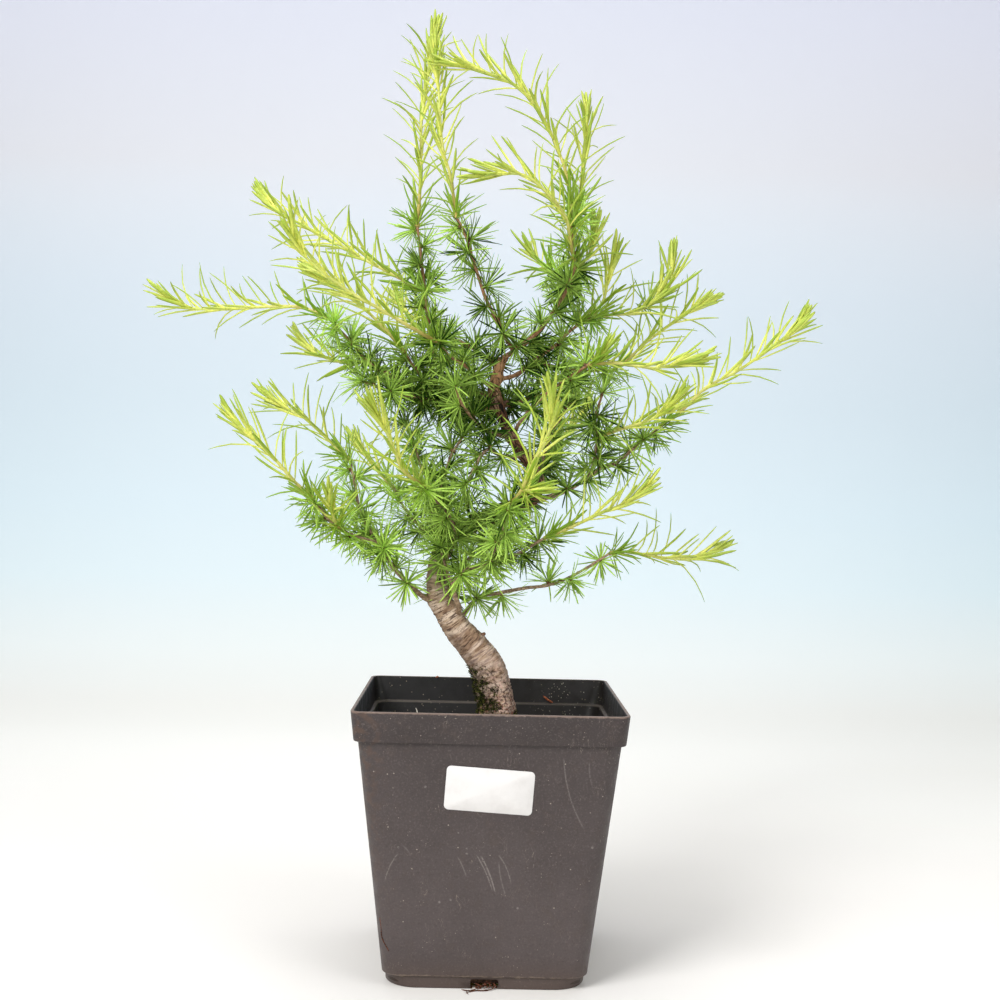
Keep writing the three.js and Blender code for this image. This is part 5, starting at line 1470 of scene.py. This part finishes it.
def bud_finish():
    """Dark brown bud scales with paler, resinous rims."""
    finish = Finish("Bud scales", Roughness=0.7)
    grain = finish.noise(0.7, 4, 0.6)
    colour = finish.mix(grain.between(0.38, 0.62), srgb(62, 38, 26), srgb(128, 84, 54))
    return finish.set(Base_Color=colour, Normal=finish.bump(grain, 0.2, 0.8))


def pot_finish():
    """Dark grey-brown moulded plastic, dusty, with pale specks, short scratches and splashes of soil, and
    painted reflection, highlights and shade.
    """
    finish = Finish("Pot plastic", Specular_IOR_Level=0.4)
    height = finish.along("Z")
    broad = finish.noise(38, 4, 0.55)
    dust = finish.noise(7, 6, 0.68)
    band = height.between(BAND_BOTTOM - 2, BAND_BOTTOM)
    # Lighter low on the walls, darker towards the band and darkest on the band itself: a painted reflection
    # of the bright floor
    level = height.between(20, BAND_BOTTOM, 1, 0.42) * (1 - band * 0.7)
    light = level * 0.8 + broad.between(0.35, 0.65) * 0.2
    colour = finish.mix(light, srgb(46, 38, 37), srgb(78, 69, 68))
    colour = colour.coated(dust.between(0.5, 0.74) * 0.35, 84, 73, 67)
    film = finish.noise(0.9, 4, 0.6)
    colour = colour.coated(film.between(0.52, 0.72) * 0.35, 106, 97, 92)
    colour = colour.coated(film.between(0.46, 0.3) * 0.3, 40, 34, 33)

    fine_specks = finish.cells(1.5).between(0.16, 0.07)
    many = finish.noise(9, 3).between(0.56, 0.66).most(finish.noise(6, 3).between(0.48, 0.6) * band)
    crumbs = finish.cells(6.5).between(0.06, 0.035)
    colour = colour.coated(fine_specks * many * 0.7 + crumbs * 0.6, 176, 164, 150)

    stray = finish.vector("SUBTRACT", finish.noise(14, 2, output="Color"), (0.5, 0.5, 0.5))
    wander = finish.vector("ADD", finish.place, finish.scaled(stray, 9 * MM))
    streaks = finish.noise(3.4, 2, 0.5, finish.vector("MULTIPLY", wander, (1.0, 1.0, 0.16)))
    scratch = streaks.away(0.5).between(0.006, 0.001)
    rare = finish.noise(12).between(0.55, 0.62)
    colour = colour.coated(scratch * rare * 0.5, 140, 128, 116)
    colour = colour.coated(front_marks(finish) * MARK_STRENGTH, 156, 148, 142)

    wavy = height + (finish.noise(2.5, 4) - 0.5) * 1.6
    rim = wavy.between(POT_HEIGHT - 1.1, POT_HEIGHT - 0.2)
    colour = colour.coated(rim * 0.55, 150, 128, 116)
    # A thin paler line where the body meets the foot, broken up by the dust: a painted highlight on that edge
    foot_lip_highlight = wavy.between(FOOT_HEIGHT - 0.7, FOOT_HEIGHT) * wavy.between(FOOT_HEIGHT + 1, FOOT_HEIGHT + 0.3)
    colour = colour.coated(foot_lip_highlight * dust.between(0.4, 0.55) * 0.6, 158, 140, 122)

    # Inside the pot the plastic is painted far darker, darkest on the left: painted shade inside the walls.
    # Grit and pale splashes lie on it, and a paler line along the inside ledge is a painted highlight.
    inside = finish.attribute("inside")
    grit = finish.cells(2.2).between(0.17, 0.08) * finish.noise(5).between(0.5, 0.58)
    side = finish.along("X")
    dark = finish.mix(side.between(-20, 40), srgb(9, 8, 8), srgb(34, 31, 29))
    dark = dark.coated(grit * 0.8, 150, 136, 118)
    splash = finish.cells(1.3).between(0.24, 0.12) * finish.noise(6, 3).between(0.55, 0.62)
    dark = dark.coated(splash * side.between(20, 40) * 0.9, 214, 204, 190)
    ledge_highlight = height.away(LEDGE_HEIGHT - 0.1).between(0.8, 0.3)
    dark = dark.coated(ledge_highlight * 0.8, 92, 84, 78)
    colour = finish.mix(inside * 0.94, colour, dark)
    low = (height + 10 * dust).between(24, 6)
    colour = colour.coated(low * 0.4, 84, 66, 54)
    soiled = (side + 22 * dust).between(-34, -52) * finish.noise(4, 5).between(0.46, 0.62)
    colour = colour.coated(soiled * (1 - inside) * 0.4, 96, 70, 52)
    rough = dust.between(0.35, 0.7, 0.42, 0.66)
    fine = finish.noise(0.55, 3, 0.6)
    relief = finish.bump(fine * 0.3 + broad * 0.7, 0.25, 0.25)
    return finish.set(Base_Color=colour, Roughness=rough, Normal=relief)


def front_marks(finish):
    """Pale rubbed streaks and dried drops on the front wall, as a share of their colour."""
    x = finish.along("X")
    z = finish.along("Z")

    def reach(cx, cz):
        return ((x - cx) * (x - cx) + (z - cz) * (z - cz)) ** 0.5

    marks = []
    for (x0, z0), (x1, z1), bow, strength in STREAKS:
        chord = math.hypot(x1 - x0, z1 - z0)
        radius = chord ** 2 / (8 * abs(bow)) + abs(bow) / 2
        away = math.copysign(radius - abs(bow), bow) / chord
        cx = (x0 + x1) / 2 + (z1 - z0) * away
        cz = (z0 + z1) / 2 - (x1 - x0) * away
        mark = reach(cx, cz).away(radius).between(0.5, 0.1) * z.between(z1, z1 + 4)
        marks.append(mark * z.between(z0, z0 - 2) * strength)
    for cx, cz, radius in DROPS:
        marks.append(reach(cx, cz).between(radius, radius * 0.5) * 0.6)
    total = marks[0]
    for mark in marks[1:]:
        total = total.most(mark)
    worn = finish.noise(1.1, 4, 0.6).between(0.34, 0.52)
    return total * worn * finish.along("Y").between(-40, -46)


def label_finish():
    """Blank white coated paper with faint smudges."""
    finish = Finish("Blank label", Roughness=0.45)
    smudge = finish.noise(8, 5, 0.6)
    colour = finish.mix(smudge.between(0.4, 0.75) * 0.5, srgb(222, 220, 218), srgb(206, 203, 200))
    return finish.set(Base_Color=colour, Normal=finish.bump(finish.noise(0.8, 3), 0.05, 0.3))


def dry_finish(name, dark, light):
    """Dry plant matter in two tones."""
    finish = Finish(name, Roughness=0.85, Specular_IOR_Level=0.2)
    grain = finish.noise(0.9, 4, 0.6)
    colour = finish.mix(grain.between(0.36, 0.64), srgb(*dark), srgb(*light))
    return finish.set(Base_Color=colour, Normal=finish.bump(grain, 0.1, 0.6))


def moss_finish():
    """Dark green moss with fresher leaves in it."""
    finish = Finish("Moss", Roughness=0.8, Specular_IOR_Level=0.2)
    shade = finish.attribute("shade")
    clump = finish.noise(2.5, 3)
    light = (shade * 0.5 + clump * 0.8).between(0.5, 1.05)
    colour = finish.mix(light, srgb(22, 24, 10), srgb(106, 110, 46))
    return finish.set(Base_Color=colour)


def soil_finish():
    """Moist dark peat with fibres and pale grit."""
    finish = Finish("Potting soil", Roughness=0.92, Specular_IOR_Level=0.2)
    clod = finish.noise(3, 6, 0.7)
    colour = finish.mix(clod.between(0.35, 0.65), srgb(38, 26, 20), srgb(86, 62, 46))
    grit = finish.cells(1.7).between(0.16, 0.08) * finish.noise(5).between(0.5, 0.6)
    colour = colour.coated(grit * 0.6, 170, 148, 122)
    return finish.set(Base_Color=colour, Normal=finish.bump(clod, 1.2, 1.0))


def backdrop_finish():
    """A pale seamless floor and backdrop that shines a little, white below and faintly blue above."""
    finish = Finish("Seamless backdrop", Roughness=0.9, Specular_IOR_Level=0.1, Emission_Strength=1.0)
    height = finish.along("Z")
    cloud = finish.noise(900, 2)
    colour = finish.mix(height.between(0, 700), srgb(238, 235, 231), srgb(226, 240, 247))
    colour = colour.coated(height.between(600, 1500), 222, 226, 240)
    colour = colour.coated(cloud.between(0.4, 0.6) * 0.1, 240, 240, 244)
    wall = finish.add("ShaderNodeValToRGB", {"stops": GLOW}, [height / 1000])
    back = finish.along("Y")
    right = finish.along("X").between(40, 340) * back.between(60, 380)
    far = back.between(100, 650).most(right * 0.85)
    floor = finish.mix(far, NEAR_GLOW, FAR_GLOW)
    glow = finish.mix(height.between(0, 20), floor, wall)
    return finish.set(Base_Color=colour, Emission_Color=glow)


def make_stage():
    """Pale seamless floor, soft light and the camera of the front view."""
    bend = arc(SWEEP_BEND, SWEEP_BEND, SWEEP_BEND, -1, 12)
    path = [(SWEEP_FRONT, 0), *bend, (2 * SWEEP_BEND, SWEEP_SIDE)]
    vertices = [(x, y, z) for y, z in path for x in (-SWEEP_SIDE, SWEEP_SIDE)]
    faces = [(2 * i, 2 * i + 1, 2 * i + 3, 2 * i + 2) for i in range(len(path) - 1)]
    solid("floor_sweep", vertices, faces, backdrop_finish())

    for light in LIGHTS:
        add_light(*light)
    world = bpy.data.worlds.new("Pale studio")
    bpy.context.scene.world = world
    world.use_nodes = True
    background = world.node_tree.nodes["Background"].inputs
    background["Color"].default_value = ROUND_LIGHT
    background["Strength"].default_value = ROUND_STRENGTH
    bpy.context.scene.view_settings.view_transform = "Standard"

    camera = bpy.data.cameras.new("Camera")
    camera.lens = CAMERA_LENS
    camera.shift_x, camera.shift_y = CAMERA_SHIFT
    camera.clip_start = 0.01
    eye = bpy.data.objects.new("Camera", camera)
    stand = Matrix.Translation(Vector(CAMERA_PLACE) * MM) @ Matrix.Rotation(math.pi / 2, 4, "X")
    roll = Matrix.Rotation(math.radians(CAMERA_ROLL), 4, "Z")
    eye.matrix_world = Matrix.Rotation(math.radians(VIEW_TURN), 4, "Z") @ stand @ roll
    bpy.context.scene.collection.objects.link(eye)
    bpy.context.scene.camera = eye


def add_light(name, place, target, size, power):
    """A square soft light that looks at a target."""
    light = bpy.data.lights.new(name, "AREA")
    light.size = size * MM
    light.energy = power
    lamp = bpy.data.objects.new(name, light)
    place = Vector(place) * MM
    aim = (Vector(target) * MM - place).to_track_quat("-Z", "Y")
    lamp.matrix_world = Matrix.Translation(place) @ aim.to_matrix().to_4x4()
    bpy.context.scene.collection.objects.link(lamp)


def hand_over(piece, slot, *nodes):
    """The piece moves with the one body and stands for some nodes, whose parts are hidden; the slot is not
    used.
    """
    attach(piece, "root")
    if nodes:
        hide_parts(*nodes)


make_stage()
trunk_line, trunk_listed, grown, roots = grow_lines()
hand_over(make_pot(pot_finish()), "pot", "pot")
hand_over(make_label(label_finish()), "label", "label")
trunk = make_trunk(trunk_finish(), trunk_line, trunk_listed, roots)
hand_over(trunk, "bark", "trunk")

needle = needle_shape()
bud = bud_shape()
crumb = crumb_shape()
moss_leaf = moss_leaf_shape()
peat = soil_finish()
litter = scatter_growth(needle, crumb, peat, dry_finish("Dry needles", (92, 58, 34), (172, 122, 72)))
bed = make_soil(peat)
hand_over(litter.grow("soil_and_litter", bed.data), "soil", "soil")
bpy.data.objects.remove(bed)
hand_over(moss_growth(moss_leaf, moss_finish()).grow("moss", trunk.data), "bark")
hand_over(make_rootlets(dry_finish("Rootlets", (42, 24, 18), (116, 70, 50))), "soil")
for scrap in make_scraps(dry_finish("Dry scraps", (120, 62, 42), (196, 120, 86)),
                         dry_finish("Pale fibres", (170, 164, 150), (232, 228, 216))):
    hand_over(scrap, "soil")
twigs = twig_growth(needle, bud, wood_finish(), rosette_finish(), bud_finish())
shoots = shoot_growth(needle, shoot_wood_finish(), shoot_finish())
for seed, (node, stems) in enumerate(grown.items()):
    name = node + "_spray"
    if node.startswith("shoot"):
        spray = shoots.grow(name, stem_mesh(name, stems, SHOOT_SLIMNESS), Seed=100 * seed)
        hand_over(spray, "shoots", node)
    else:
        spacing = OTHER_SPACING.get(node, ROSETTE_SPACING) * MM
        spray = twigs.grow(name, stem_mesh(name, stems, TWIG_SLIMNESS), Seed=100 * seed, Spacing=spacing)
        hand_over(spray, "rosettes", node)
for shape in (needle, bud, crumb, moss_leaf):
    bpy.data.objects.remove(shape)
